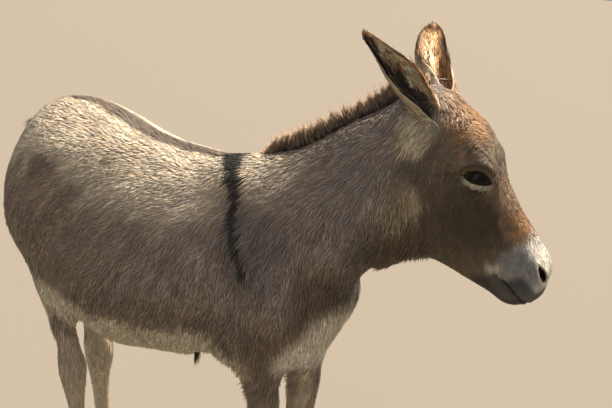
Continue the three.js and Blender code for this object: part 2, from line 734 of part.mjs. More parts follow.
function headSolid() {
  let head = headBlock.intersect(afterCut(HEAD_CUT));
  for (const side of [-1, 1]) {
    const socket = vec(EYE_AT.x, side * EYE_AT.y, EYE_AT.z);
    head = head.subtract(ballSolid(socket, EYE_RADIUS + GAP, 1));
    head = head.subtract(nostrilSolid(side));
  }
  return head.subtract(mouthSolid());
}

function ballSolid(centreInHead, radius, detail) {
  const place = headFrame.clone().multiply(
    new THREE.Matrix4().makeTranslation(centreInHead.x, centreInHead.y, centreInHead.z),
  );
  return solidOf(new THREE.IcosahedronGeometry(radius, detail), place);
}

// A nostril: a slanting oval pit that runs back and inwards.
function nostrilSolid(side) {
  const [roll, pitch, yaw] = [-24 * side, -14, -30 * side].map(radians);
  const place = new THREE.Matrix4().compose(
    vec(NOSTRIL_AT.x, side * NOSTRIL_AT.y, NOSTRIL_AT.z),
    new THREE.Quaternion().setFromEuler(new THREE.Euler(roll, pitch, yaw)),
    NOSTRIL_RADII,
  );
  return solidOf(new THREE.IcosahedronGeometry(1, 1), headFrame.clone().multiply(place));
}

// The line between the lips: a thin slot round the front of the muzzle.
function mouthSolid() {
  const SLOT = 2.4;
  const ACROSS = 120;
  const CORNER = { x: 330, z: -48 };
  const FRONT = { x: 412, z: -34 };
  const CORE = { at: vec(CORNER.x, 0, -46), radii: vec(52, 26, 40) }; // flesh that the slot leaves
  const run = vec(FRONT.x - CORNER.x, 0, FRONT.z - CORNER.z);
  const place = headFrame
    .clone()
    .multiply(new THREE.Matrix4().makeTranslation(CORNER.x, 0, CORNER.z))
    .multiply(new THREE.Matrix4().makeRotationY(-Math.atan2(run.z, run.x)))
    .multiply(new THREE.Matrix4().makeTranslation(run.length() / 2, 0, 0));
  const slot = solidOf(new THREE.BoxGeometry(run.length(), ACROSS, SLOT), place);
  const core = new THREE.Matrix4().compose(CORE.at, new THREE.Quaternion(), CORE.radii);
  return slot.subtract(solidOf(new THREE.IcosahedronGeometry(1, 2), headFrame.clone().multiply(core)));
}

// ---- Mane and tail --------------------------------------------------------------------------------

const MANE_HEIGHT = 34; // of the standing hair above the crest
const MANE_SINK = 26; // how deep its root is set before the neck is cut out of it

// The upright mane: a thin strip along the crest, from the poll to the withers.
function maneSolid(room) {
  const FROM = 70;
  const TO = 438;
  const RINGS = 11;
  const TIP = 3; // half the thickness at the top
  const rings = [];
  for (let r = 0; r < RINGS; r += 1) {
    const s = r / (RINGS - 1);
    const t = THREE.MathUtils.lerp(FROM, TO, s);
    const crest = along(NECK, 'high', t);
    const shift = along(NECK, 'shift', t);
    const tall = MANE_HEIGHT * Math.min(1, 0.15 + 1.7 * s) * (s > 0.9 ? 0.8 : 1);
    const thick = 5 + 5 * Math.min(1, 2 * s);
    const profile = [[thick, -MANE_SINK], [thick, tall * 0.3], [TIP, tall]];
    const outline = profile.map(([side, up]) => [-side, up]).concat(profile.reverse());
    rings.push(outline.map(([side, up]) => inNeck(t, shift + side, crest + up)));
  }
  return ringSolid(rings.reverse()).subtract(room);
}

// A round tube along a curve, its radius from a table of { t, radius } with t from 0 to 1.
function ropeSolid(curve, rows, count, sides) {
  const rings = [];
  const frames = curve.computeFrenetFrames(count, false);
  for (let r = 0; r <= count; r += 1) {
    const t = r / count;
    const centre = curve.getPointAt(t);
    const radius = along(rows, 'radius', t);
    rings.push(
      Array.from({ length: sides }, (_, i) => {
        const angle = (2 * Math.PI * i) / sides;
        return centre
          .clone()
          .addScaledVector(frames.normals[r], radius * Math.cos(angle))
          .addScaledVector(frames.binormals[r], radius * Math.sin(angle));
      }),
    );
  }
  return ringSolid(rings);
}

const tailPath = new THREE.CatmullRomCurve3([
  vec(-575, 0, 828),
  vec(-604, 4, 808),
  vec(-626, 14, 774),
  vec(-640, 30, 724),
  vec(-644, 48, 650),
  vec(-636, 62, 520),
  vec(-628, 66, 360),
]);
const TASSEL_FROM = 0.6;

function tailSolid(trunkRoom) {
  const rows = [
    { t: 0, radius: 24 },
    { t: 0.2, radius: 21 },
    { t: 0.6, radius: 13 },
    { t: 1, radius: 11 },
  ];
  const points = Array.from({ length: 12 }, (_, i) => tailPath.getPointAt((TASSEL_FROM * i) / 11));
  return ropeSolid(new THREE.CatmullRomCurve3(points), rows, 11, 9).subtract(trunkRoom);
}

function tasselSolid() {
  const rows = [
    { t: 0, radius: 11 },
    { t: 0.25, radius: 19 },
    { t: 0.6, radius: 21 },
    { t: 0.85, radius: 13 },
    { t: 1, radius: 3 },
  ];
  const from = TASSEL_FROM + 0.002;
  const points = Array.from({ length: 8 }, (_, i) => tailPath.getPointAt(from + ((1 - from) * i) / 7));
  return ropeSolid(new THREE.CatmullRomCurve3(points), rows, 8, 9);
}

// ---- Assembly ---------------------------------------------------------------------------------------

function mesh(name, made, colour, roughness) {
  const { vertProperties, triVerts } = made.getMesh();
  const geometry = new THREE.BufferGeometry();
  geometry.setAttribute('position', new THREE.BufferAttribute(new Float32Array(vertProperties), 3));
  geometry.setIndex(new THREE.BufferAttribute(new Uint32Array(triVerts), 1));
  geometry.computeVertexNormals();
  const material = new THREE.MeshStandardMaterial({ color: colour, roughness, metalness: 0 });
  const part = new THREE.Mesh(geometry, material);
  part.name = name;
  return part;
}

const donkey = new THREE.Group();
// A block of flesh grown by a little, to be cut out of what is set into it.
const roomOver = (frame, grid) => polygonise((point) => flesh(point) - SEAT, frame, ...grid);

const trunk = Object.values(LEG_CUTS).reduce(
  (left, cut) => left.subtract(roomBelow(cut, -cut.side, cut.side, half)),
  trunkBlock.intersect(beforeCut(NECK_CUT)),
);
donkey.add(mesh('trunk', trunk, COLOURS.trunk, 0.95));
const neck = neckBlock.intersect(afterCut(NECK_CUT)).intersect(beforeCut(HEAD_CUT));
donkey.add(mesh('neck', neck, COLOURS.neck, 0.95));
donkey.add(mesh('head', headSolid(), COLOURS.head, 0.95));
for (const [name, stance] of Object.entries(STANCE)) {
  const cut = LEG_CUTS[name.slice(0, 4)];
  donkey.add(mesh(`leg_${name}`, legSolid(stance, cut), COLOURS.leg, 0.95));
  donkey.add(mesh(`hoof_${name}`, hoofSolid(cut.rows, stance), COLOURS.hoof, 0.6));
}

const headRoom = roomOver(headFrame, HEAD_GRID);
const neckRoom = roomOver(neckFrame, NECK_GRID);
const trunkRoom = roomOver(world, TRUNK_GRID);
const pollRoom = headRoom.add(neckRoom);
for (const [name, ear] of Object.entries(EARS)) {
  donkey.add(mesh(name, earSolid(ear).subtract(pollRoom), COLOURS.ear, 0.95));
}
for (const [name, side] of [['eye_right', -1], ['eye_left', 1]]) {
  const ball = ballSolid(vec(EYE_AT.x, side * EYE_AT.y, EYE_AT.z), EYE_RADIUS, 1);
  donkey.add(mesh(name, ball, COLOURS.eye, 0.1));
}
donkey.add(mesh('mane', maneSolid(pollRoom.add(trunkRoom)), COLOURS.mane, 0.95));
donkey.add(mesh('tail', tailSolid(trunkRoom), COLOURS.tail, 0.95));
donkey.add(mesh('tail_tassel', tasselSolid(), COLOURS.tassel, 0.95));

// The middle of the outline on the ground becomes the origin.
const extent = new THREE.Box3().setFromObject(donkey).getCenter(new THREE.Vector3());
donkey.position.set(-extent.x, -extent.y, 0);
const part = new THREE.Group();
part.add(donkey);
part.name = 'donkey';

export default part;
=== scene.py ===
# %% [markdown]
# # A miniature donkey at life size
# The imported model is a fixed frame: it gives the size, the pose and the places of every part.
# This lesson dresses it. One skin takes the place of the solid flesh, eyes and hooves stay
# separate, and the coat, mane and tail are thousands of small locks of hair as real mesh.

# %% Load the frame
import math

import bpy
import bmesh
import numpy as np
from mathutils import Matrix, Vector
from mathutils.bvhtree import BVHTree
from mathutils.kdtree import KDTree


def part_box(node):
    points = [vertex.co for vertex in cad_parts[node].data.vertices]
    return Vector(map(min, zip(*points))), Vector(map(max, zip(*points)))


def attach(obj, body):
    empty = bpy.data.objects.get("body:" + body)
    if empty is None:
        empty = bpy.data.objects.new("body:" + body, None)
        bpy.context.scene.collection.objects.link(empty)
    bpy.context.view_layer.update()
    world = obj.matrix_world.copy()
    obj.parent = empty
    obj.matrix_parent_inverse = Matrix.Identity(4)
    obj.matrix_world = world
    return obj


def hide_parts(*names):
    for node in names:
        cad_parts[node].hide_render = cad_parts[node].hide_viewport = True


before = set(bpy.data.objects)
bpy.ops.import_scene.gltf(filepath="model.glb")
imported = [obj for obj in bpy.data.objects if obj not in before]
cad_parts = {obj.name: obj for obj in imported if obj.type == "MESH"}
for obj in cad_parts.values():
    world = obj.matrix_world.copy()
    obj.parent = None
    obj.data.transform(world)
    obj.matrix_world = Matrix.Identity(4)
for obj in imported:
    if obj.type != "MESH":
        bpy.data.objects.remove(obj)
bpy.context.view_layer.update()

# %% [markdown]
# ## Where things are
# A donkey is measured from its withers. Everything below is given in millimetres from the
# ground under the withers, and in the head's own directions from the poll: down the face, to
# the donkey's left, and out of the face. Two functions turn these into metres in the frame.

# %% Landmarks
hoof_low, hoof_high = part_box("hoof_fore_right")
HOOF_FRONT, HOOF_MIDDLE = 0.128, -0.046  # of the right fore hoof, from the withers
SHIFT = np.array([hoof_high.x - HOOF_FRONT, (hoof_low.y + hoof_high.y) / 2 - HOOF_MIDDLE, 0])
POLL = np.array([376.0, 95.0, 1007.0])
HEAD_TURN, HEAD_DIP = math.radians(22), math.radians(64)
forward = np.array([math.cos(HEAD_TURN), math.sin(HEAD_TURN), 0])
DOWN_FACE = forward * math.cos(HEAD_DIP) + np.array([0, 0, -math.sin(HEAD_DIP)])
LEFT = np.array([-forward[1], forward[0], 0])
OUT_OF_FACE = np.cross(DOWN_FACE, LEFT)
HEAD_AXES = np.array([DOWN_FACE, LEFT, OUT_OF_FACE])


def at(points):
    """Points in millimetres from the withers, as metres in the frame."""
    return np.asarray(points, float) / 1000 + SHIFT


def from_withers(points):
    """Points in the frame, as millimetres from the ground under the withers."""
    return (np.asarray(points, float) - SHIFT) * 1000


def to_head(points):
    """Points in the frame, as millimetres down the face, to the left and out of the face."""
    return (from_withers(points) - POLL) @ HEAD_AXES.T


def from_head(points):
    """Points in the head's own directions, as metres in the frame."""
    return at(np.asarray(points, float) @ HEAD_AXES + POLL)


def mirrored_head(points):
    """Head coordinates with the right side folded onto the left, and the side's sign."""
    spot = to_head(points)
    side = np.where(spot[:, 1] < 0, -1.0, 1.0)
    spot[:, 1] = np.abs(spot[:, 1])
    return spot, side


def unit(vectors):
    return vectors / np.maximum(np.linalg.norm(vectors, axis=-1, keepdims=True), 1e-9)


def ease(low, high, value):
    """From 0 at low to 1 at high, with soft ends."""
    s = np.clip((value - low) / (high - low), 0, 1)
    return s * s * (3 - 2 * s)


print("withers to poll", np.round(at(POLL) - at([0, 0, 860]), 3))

# %% [markdown]
# ## Tools of the bench
# These functions make meshes and materials, and read and store what a mesh carries.

# %% Small tools for meshes and materials


def new_object(name, data):
    """An object in the scene that holds a mesh, a lamp or a camera."""
    thing = bpy.data.objects.new(name, data)
    bpy.context.scene.collection.objects.link(thing)
    return thing


def mesh_object(name, vertices, faces):
    mesh = bpy.data.meshes.new(name)
    mesh.from_pydata([tuple(v) for v in vertices], [], [tuple(f) for f in faces])
    mesh.update()
    return new_object(name, mesh)


def evaluated_mesh(thing):
    """The object's shape with its modifiers applied, as a new mesh."""
    return bpy.data.meshes.new_from_object(thing.evaluated_get(bpy.context.evaluated_depsgraph_get()))


def mesh_corners(mesh):
    co = np.empty(len(mesh.vertices) * 3)
    mesh.vertices.foreach_get("co", co)
    return co.reshape(-1, 3)


def mesh_normals(mesh):
    normals = np.empty(len(mesh.vertices) * 3, np.float32)
    mesh.vertex_normals.foreach_get("vector", normals)
    return normals.reshape(-1, 3).astype(float)


def move_corners(mesh, co):
    mesh.vertices.foreach_set("co", co.ravel())
    mesh.update()


def shape_of(work):
    """The corners and the faces of a bmesh, which is freed."""
    corners = np.array([v.co[:] for v in work.verts])
    faces = [[v.index for v in f.verts] for f in work.faces]
    work.free()
    return corners, faces


def face_outwards(mesh):
    """Turns the faces of a closed shape outwards and returns its volume in cubic metres."""
    work = bmesh.new()
    work.from_mesh(mesh)
    bmesh.ops.recalc_face_normals(work, faces=work.faces)
    if work.calc_volume(signed=True) < 0:
        bmesh.ops.reverse_faces(work, faces=work.faces)
    volume = work.calc_volume(signed=True)
    work.to_mesh(mesh)
    work.free()
    return volume


LAYER_FIELDS = {  # how each kind of stored value is read, and how many numbers it holds
    "FLOAT": ("value", 1), "FLOAT2": ("vector", 2),
    "FLOAT_VECTOR": ("vector", 3), "FLOAT_COLOR": ("color", 4),
}


def add_layer(mesh, name, kind, values):
    """Stores one value at each corner of the mesh."""
    layer = mesh.attributes.new(name, kind, "POINT")
    field, _ = LAYER_FIELDS[kind]
    layer.data.foreach_set(field, np.ascontiguousarray(values, np.float32).ravel())


def read_layer(mesh, name):
    layer = mesh.attributes[name]
    field, width = LAYER_FIELDS[layer.data_type]
    values = np.empty(len(layer.data) * width, np.float32)
    layer.data.foreach_get(field, values)
    return values.reshape(-1, width)


def nearest_in(places):
    """A search that gives the index of the place nearest to each point."""
    tree = KDTree(len(places))
    for index, place in enumerate(places):
        tree.insert(place, index)
    tree.balance()
    return lambda points: [tree.find(p)[1] for p in points]


def linear(hex_colour):
    """An sRGB hex colour as linear red, green, blue and alpha."""
    parts = [int(hex_colour[i : i + 2], 16) / 255 for i in (1, 3, 5)]
    return tuple(c / 12.92 if c <= 0.04045 else ((c + 0.055) / 1.055) ** 2.4 for c in parts) + (1.0,)


def opaque(colours):
    """Colours with a full alpha beside them."""
    return np.c_[colours, np.ones(len(colours))]


def new_material(name):
    material = bpy.data.materials.new(name)
    material.use_nodes = True
    material.node_tree.nodes.clear()
    return material, material.node_tree


def add(tree, kind, settings=None, **inputs):
    """One node with its settings; each input is a value or another node's output."""
    node = tree.nodes.new(kind)
    for key, value in (settings or {}).items():
        setattr(node, key, value)
    for key, value in inputs.items():
        socket = node.inputs[int(key[1:])] if key[0] == "i" and key[1:].isdigit() else (
            node.inputs[key.replace("_", " ")]
        )
        if isinstance(value, bpy.types.NodeSocket):
            tree.links.new(value, socket)
        else:
            socket.default_value = value
    return node


def ramp(tree, factor, stops):
    """A colour ramp through (position, hex colour) stops."""
    node = add(tree, "ShaderNodeValToRGB", Fac=factor)
    elements = node.color_ramp.elements
    while len(elements) < len(stops):
        elements.new(0.5)
    for element, (position, colour) in zip(elements, stops):
        element.position = position
        element.color = linear(colour)
    return node.outputs["Color"]


# %% [markdown]
# ## Camera, floor and light
# The camera stands where a standing visitor would, a little ahead of the animal's right
# shoulder, and looks slightly down. A long lens keeps the head and the rump in proportion.
# The floor is a plain sheet. A sun stands high behind the far shoulder and lights the back,
# the crest and the face's profile, and a broad weak lamp fills the near side.

# %% Camera
CAMERA_AT = at([1554, -1733, 1490])
CAMERA_AZIMUTH, CAMERA_PITCH, CAMERA_ROLL = (math.radians(a) for a in (39.3, -17.6, -0.3))
SENSOR_WIDTH, LENS = 36.0, 77.35
camera = new_object("camera", bpy.data.cameras.new("camera"))
camera.data.sensor_fit = "HORIZONTAL"
camera.data.sensor_width = SENSOR_WIDTH
camera.data.lens = LENS
level = Matrix.Rotation(CAMERA_AZIMUTH, 4, "Z") @ Matrix.Rotation(math.pi / 2 + CAMERA_PITCH, 4, "X")
camera.matrix_world = Matrix.Translation(CAMERA_AT) @ level @ Matrix.Rotation(CAMERA_ROLL, 4, "Z")
bpy.context.scene.camera = camera
print("camera at", np.round(CAMERA_AT, 3))

# %% Floor and lamps
FLOOR_SIZE = 14.0
floor_paper, tree = new_material("matte_paper_floor")  # smooth uncoated paper: no gloss, no grain
paper = add(tree, "ShaderNodeBsdfPrincipled", Base_Color=linear("#6A655D"), Roughness=0.9)
add(tree, "ShaderNodeOutputMaterial", Surface=paper.outputs["BSDF"])
corner = FLOOR_SIZE / 2
floor = mesh_object(
    "floor", [(-corner, -corner, 0), (corner, -corner, 0), (corner, corner, 0), (-corner, corner, 0)],
    [(0, 1, 2, 3)],
)
floor.data.materials.append(floor_paper)


def lamp(name, kind, power, colour, pose, **settings):
    """A lamp in its pose; the settings are its size or its angle."""
    data = bpy.data.lights.new(name, kind)
    data.energy, data.color = power, linear(colour)[:3]
    for key, value in settings.items():
        setattr(data, key, value)
    new_object(name, data).matrix_world = pose


HEART, FILL_AT = (0.0, 0.0, 0.7), (0.6, -3.6, 2.2)
to_heart = Vector(np.subtract(HEART, FILL_AT)).to_track_quat("-Z", "Y").to_matrix().to_4x4()
lamp("fill_lamp", "AREA", 26, "#FFF0E0", Matrix.Translation(FILL_AT) @ to_heart, size=3.2)
KEY_FROM, KEY_ANGLE = (0.10, 0.43, 0.90), math.radians(5)
from_sun = Vector(KEY_FROM).to_track_quat("Z", "Y").to_matrix().to_4x4()
lamp("key_lamp", "SUN", 13.0, "#FFF0DC", from_sun, angle=KEY_ANGLE)
world = bpy.data.worlds.new("studio_air")
bpy.context.scene.world = world
world.use_nodes = True
air = world.node_tree.nodes["Background"]
AIR_STRENGTH = 0.42
air.inputs["Color"].default_value = linear("#E2E2E2")
air.inputs["Strength"].default_value = AIR_STRENGTH
bpy.context.scene.view_settings.view_transform = "Standard"

# %% [markdown]
# ## The skin
# A live donkey wears one skin, with no seams between head, neck, trunk and legs. The solids
# are parted by thin cuts and cut into flat facets, so copies of them are swollen by a hair's
# breadth, fused by a voxel remesh and then smoothed. Smoothing shrinks a shape, so the part
# that a second pass would lose is added back. The smoothing is wide on the trunk, where the
# facets are large, and narrow on the head, where the bones lie close under the skin.

# %% Fuse the flesh
FLESH = ["trunk", "neck", "head", "tail"] + [
    f"leg_{end}_{side}" for end in ("fore", "hind") for side in ("right", "left")
]
SWELL = 0.0006
VOXEL = 0.0062
PIT_DOWN, PIT_ASIDE, PIT_OUT, PIT_RADIUS = 347, 29, 14, 13  # the solid head's nostril, in mm


def merged_copy(name):
    """A CAD node's vertices and triangles with the doubled corners made one."""
    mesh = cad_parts[name].data
    co = mesh_corners(mesh)
    mesh.calc_loop_triangles()
    triangles = np.array([t.vertices for t in mesh.loop_triangles])
    _, first, back = np.unique(np.round(co, 6), axis=0, return_index=True, return_inverse=True)
    triangles = back.reshape(-1)[triangles]
    distinct = (triangles != np.roll(triangles, 1, axis=1)).all(axis=1)
    return co[first], triangles[distinct]


def face_normals(co, faces):
    a, b, c = (co[faces[:, i]] for i in range(3))
    return np.cross(b - a, c - a)


def vertex_normals(co, faces):
    """Normals at the vertices, from the triangles round each, weighted by their area."""
    flat = face_normals(co, faces)
    total = np.zeros_like(co)
    for i in range(3):
        for axis in range(3):
            total[:, axis] += np.bincount(faces[:, i], flat[:, axis], len(co))
    return unit(total)


def plug(centre, radius):
    """A small ball that fills a hollow of the face, so that the hollow can be cut sharply later."""
    work = bmesh.new()
    bmesh.ops.create_icosphere(work, subdivisions=2, radius=radius / 1000)
    corners, faces = shape_of(work)
    return corners + from_head(centre), np.array(faces)


all_points, all_faces, count = [], [], 0
fillers = [plug((PIT_DOWN, side * PIT_ASIDE, PIT_OUT), PIT_RADIUS) for side in (-1, 1)]
for co, faces in [merged_copy(name) for name in FLESH + ["eye_right", "eye_left"]] + fillers:
    all_points.append(co + vertex_normals(co, faces) * SWELL)
    all_faces.append(faces + count)
    count += len(co)
blank = mesh_object("skin_blank", np.concatenate(all_points), np.concatenate(all_faces))
remesh = blank.modifiers.new("fuse", "REMESH")
remesh.mode, remesh.voxel_size = "VOXEL", VOXEL
fused = evaluated_mesh(blank)
bpy.data.objects.remove(blank)
print("fused skin", len(fused.vertices), "vertices", len(fused.polygons), "faces")

# %% Smooth the facets away
SMOOTH_ROUNDS = 40
BODY_PULL, THIN_PULL, HEAD_PULL = 0.72, 0.5, 0.16  # thin parts lose the second from the first


def edge_pairs(mesh):
    pairs = np.empty(len(mesh.edges) * 2, np.int64)
    mesh.edges.foreach_get("vertices", pairs)
    return pairs.reshape(-1, 2)


def relaxed(values, pairs, pull, rounds):
    """Values drawn towards the mean of their neighbours, each by its own pull."""
    values = values.copy()
    size = len(values)
    degree = np.bincount(pairs.ravel(), minlength=size)[:, None]
    for _ in range(rounds):
        mean = np.empty_like(values)
        for axis in range(values.shape[1]):
            mean[:, axis] = np.bincount(pairs[:, 0], values[pairs[:, 1], axis], size)
            mean[:, axis] += np.bincount(pairs[:, 1], values[pairs[:, 0], axis], size)
        values += (mean / degree - values) * pull
    return values


def head_share(points):
    """1 on the head, 0 on the rest, easing over the cut behind the ears and the jaw."""
    down, _, out = to_head(points).T
    past_cut = (down + 40) * 0.578 + (out + 45) * 0.816
    return ease(-12, 14, past_cut) * ease(560, 640, from_withers(points)[:, 2])


def leg_share(points):
    return 1 - ease(380, 450, from_withers(points)[:, 2])


TAIL_PATH = np.array([
    (-575, 0, 828), (-604, 4, 808), (-626, 14, 774), (-640, 30, 724),
    (-644, 48, 650), (-636, 62, 520), (-628, 66, 360),
])
TAIL_STEPS, TAIL_FREE = 12, 14  # steps between two knots, and the first that hangs free
tail_line = np.concatenate([
    np.linspace(a, b, TAIL_STEPS, endpoint=False) for a, b in zip(TAIL_PATH[:-1], TAIL_PATH[1:])
] + [TAIL_PATH[-1:]])


def tail_share(points):
    """1 on the hanging tail, 0 elsewhere."""
    spot = from_withers(points)
    gap = np.full(len(spot), 1e9)
    for knot in tail_line[TAIL_FREE:]:
        gap = np.minimum(gap, np.linalg.norm(spot - knot, axis=1))
    return 1 - ease(24, 32, gap)


co = mesh_corners(fused)
pairs = edge_pairs(fused)
head, legs, tail = head_share(co), leg_share(co), tail_share(co)
pull = (BODY_PULL - THIN_PULL * legs) * (1 - head) + HEAD_PULL * head
pull = np.minimum(pull, BODY_PULL - THIN_PULL * tail)[:, None]
once = relaxed(co, pairs, pull, SMOOTH_ROUNDS)
co = once + relaxed(co - once, pairs, pull, SMOOTH_ROUNDS)
print("largest move in smoothing", round(float(np.abs(co - once).max() * 1000), 1), "mm")

# %% [markdown]
# ## A finer head, and room for the coat
# The face carries lids, nostrils and lips that are only millimetres thick, so its faces are
# split once, and those round each feature once more. Then the skin sinks by the depth of the
# coat that will lie on it: deep on the barrel and the cheeks, next to nothing on the muzzle.

# %% Refine and sink
FEATURES = [  # (down the face, to one side, out of the face), reach in mm
    ((150, 62, -8), 40), ((346, 36, 18), 27), ((360, 24, -38), 34), ((385, 0, -30), 30),
]


def near_features(points, margin=0.0):
    spot, _ = mirrored_head(points)
    close = np.zeros(len(spot), bool)
    for centre, reach in FEATURES:
        close |= np.linalg.norm(spot - centre, axis=1) < reach + margin
    return close


def split_faces(mesh, wanted):
    """Splits each face whose corners are all wanted into four; their neighbours stay closed."""
    work = bmesh.new()
    work.from_mesh(mesh)
    inside = [e for e in work.edges if wanted[e.verts[0].index] and wanted[e.verts[1].index]]
    bmesh.ops.subdivide_edges(work, edges=inside, cuts=1, use_grid_fill=True)
    bmesh.ops.triangulate(work, faces=[f for f in work.faces if len(f.verts) > 4])
    work.to_mesh(mesh)
    work.free()


move_corners(fused, co)
face_part = to_head(co)
split_faces(fused, (head_share(co) > 0.5) & (face_part[:, 0] > 90))
split_faces(fused, near_features(mesh_corners(fused)))


def coat_depth(points):
    """How far below the tips of the hair the skin lies, in mm."""
    spot = from_withers(points)
    down, _, out = to_head(points).T
    head, legs = head_share(points), leg_share(points)
    body = 8.5 + 2.5 * ease(560, 440, spot[:, 2])
    cheek = ease(-30, -80, out) * ease(230, 150, down)
    face = 3.2 + 5.5 * ease(110, 20, down) + 3.5 * cheek - 2.0 * ease(280, 330, down)
    leg = 2.2 + 3.5 * ease(250, 420, spot[:, 2]) + 1.5 * ease(110, 60, spot[:, 2])
    depth = body * (1 - legs) + leg * legs
    depth = depth * (1 - head) + face * head
    return depth * (1 - tail_share(points)) + 3.0 * tail_share(points)


co = mesh_corners(fused)
pairs = edge_pairs(fused)
still = ((head_share(co) < 0.5) | (to_head(co)[:, 0] < 95)).astype(float)[:, None]
co = relaxed(co, pairs, 0.5 * (1 - still), 3)
move_corners(fused, co)
sink = relaxed(mesh_normals(fused), pairs, 0.5, 4)
co -= unit(sink) * coat_depth(co)[:, None] / 1000
move_corners(fused, co)
print("skin", len(fused.vertices), "vertices", len(fused.polygons), "faces")

# %% [markdown]
# ## Ears
# A donkey's ear is a long scoop of thin cartilage, rolled shut at its root. Each is built from
# C-shaped rings along its own line and joined to the head by a boolean, so that it grows out
# of the same skin.

# %% Ear scoops
EAR_LENGTH = 192.0
EARS = {
    "ear_right": dict(root=(14, -40, -44), point=(-170, -92, -16), open=(0.3, -0.72, 0.65),
                      sway=6, wide=0.9, narrow=0.4),
    "ear_left": dict(root=(4, 37, -29), point=(-100, 158, -4), open=(-0.3, -0.75, 0.6),
                     sway=-13, wide=1.0, narrow=0.0),
}
EAR_ROWS = np.array([  # share of the length, radius, half angle of the roll, thickness
    (-0.3, 20, 160, 8), (-0.12, 21, 156, 8), (0.0, 24, 150, 7), (0.14, 27, 138, 6), (0.34, 31, 118, 5),
    (0.56, 30, 104, 4.5), (0.78, 25, 92, 4), (0.92, 18, 76, 4), (0.98, 11, 62, 3.5), (1.0, 5, 50, 3),
])
EAR_BOW, EAR_CREASE = 10.0, 0.35
EAR_RINGS, EAR_ARC = 40, 25  # rings along the ear, and points on one side of each


def smooth_rows(rows, t):
    """Each column of a table at t, softly interpolated."""
    return np.array([np.interp(t, rows[:, 0], rows[:, c]) for c in range(1, rows.shape[1])])


def ear_axes(ear):
    """The root, the direction to the tip, the way it opens, and across, as metres and units."""
    root = from_head(ear["root"])
    axis = unit(from_head(ear["point"]) - from_head((0, 0, 0)))
    opening = from_head(ear["open"]) - from_head((0, 0, 0))
    opening = unit(opening - axis * (opening @ axis))
    return root, axis, opening, np.cross(axis, opening)


def ear_middle(ear, t):
    root, axis, opening, across = ear_axes(ear)
    bend = math.sin(math.pi * min(max(t, 0), 1))
    return root + (axis * EAR_LENGTH * t + (across * ear["sway"] - opening * EAR_BOW) * bend) / 1000


def ear_radius(ear, t):
    radius = np.interp(t, EAR_ROWS[:, 0], EAR_ROWS[:, 1])
    return radius * ear["wide"] * (1 - ear["narrow"] * ease(0.35, 0.85, t) * ease(1.15, 0.9, t))


def ear_shell(ear):
    """Rings of an outer and an inner arc; returns vertices and faces of a closed shell."""
    _, _, opening, across = ear_axes(ear)
    rings, arc = EAR_RINGS, EAR_ARC
    points, faces = [], []
    for r in range(rings):
        t = EAR_ROWS[0, 0] + (1 - EAR_ROWS[0, 0]) * r / (rings - 1)
        _, roll, thick = smooth_rows(EAR_ROWS, t)
        radius = float(ear_radius(ear, t))
        centre = ear_middle(ear, t) + opening * radius * EAR_CREASE / 1000
        for side in (0, 1):
            for i in range(arc):
                turn = (1 - 2 * i / (arc - 1)) * (1 if side == 0 else -1)
                edge = 1 - abs(turn) ** 6
                reach = radius - (1.2 if side == 0 else max(thick - 1.2, 1.4) * (0.35 + 0.65 * edge))
                angle = math.radians(roll) * turn
                points.append(centre + (
                    across * math.sin(angle) - opening * math.cos(angle)
                ) * max(reach, 1.0) / 1000)
    ring = 2 * arc
    for r in range(rings - 1):
        for i in range(ring):
            a, b = r * ring + i, r * ring + (i + 1) % ring
            faces.append((a, b, b + ring, a + ring))
    for r, flip in ((0, True), (rings - 1, False)):
        for i in range(arc - 1):
            quad = [r * ring + n for n in (i, i + 1, ring - 2 - i, ring - 1 - i)]
            faces.append(tuple(reversed(quad)) if flip else tuple(quad))
    return points, faces


skin = new_object("skin", fused)
for name, ear in EARS.items():
    shell = mesh_object(name + "_shell", *ear_shell(ear))
    print(name, "volume", round(face_outwards(shell.data) * 1e6, 1), "cubic cm")
    union = skin.modifiers.new("join_" + name, "BOOLEAN")
    union.operation, union.solver, union.object = "UNION", "MANIFOLD", shell
    shell.hide_render = True
joined = evaluated_mesh(skin)
skin.modifiers.clear()
skin.data = joined
for name in EARS:
    bpy.data.objects.remove(bpy.data.objects[name + "_shell"])
co = mesh_corners(joined)
print("skin with ears", len(co), "vertices", len(joined.polygons), "faces")


EAR_FOOT, EAR_TIP, EAR_MISS = -0.28, 1.05, 200  # the ear's ends, and mm of miss past them


def ear_place(points):
    """For each point: share along the nearer ear, mm off its shell, roll angle, and which ear."""
    best = np.full((len(points), 4), 0.0)
    best[:, 1] = 1e9
    for index, ear in enumerate(EARS.values()):
        root, axis, opening, across = ear_axes(ear)
        along = (points - root) @ axis * 1000 / EAR_LENGTH
        bend = np.sin(np.pi * np.clip(along, 0, 1))[:, None]
        radius = ear_radius(ear, along)
        middle = root + axis * (along * EAR_LENGTH)[:, None] / 1000
        middle = middle + (across * ear["sway"] - opening * EAR_BOW) * bend / 1000
        middle = middle + opening * (radius * EAR_CREASE)[:, None] / 1000
        arm = (points - middle) * 1000
        side, back = arm @ across, -(arm @ opening)
        reach = np.hypot(side, back)
        beyond = np.clip(EAR_FOOT - along, 0, 1) + np.clip(along - EAR_TIP, 0, 1)
        miss = np.abs(reach - radius) + EAR_MISS * beyond
        nearer = miss < best[:, 1]
        row = np.stack([along, miss, np.degrees(np.arctan2(side, back)), np.full(len(along), index)], 1)
        best[nearer] = row[nearer]
    return best


def ear_share(points):
    place = ear_place(points)
    return ease(14, 9, place[:, 1]) * ease(-0.02, 0.06, place[:, 0])


seam = ear_place(co)
ring_zone = (seam[:, 1] < 14) & (seam[:, 0] > -0.1) & (seam[:, 0] < 0.12)
pull = (0.45 * ring_zone)[:, None].astype(float)
co = relaxed(co, edge_pairs(joined), pull, 6)
move_corners(joined, co)

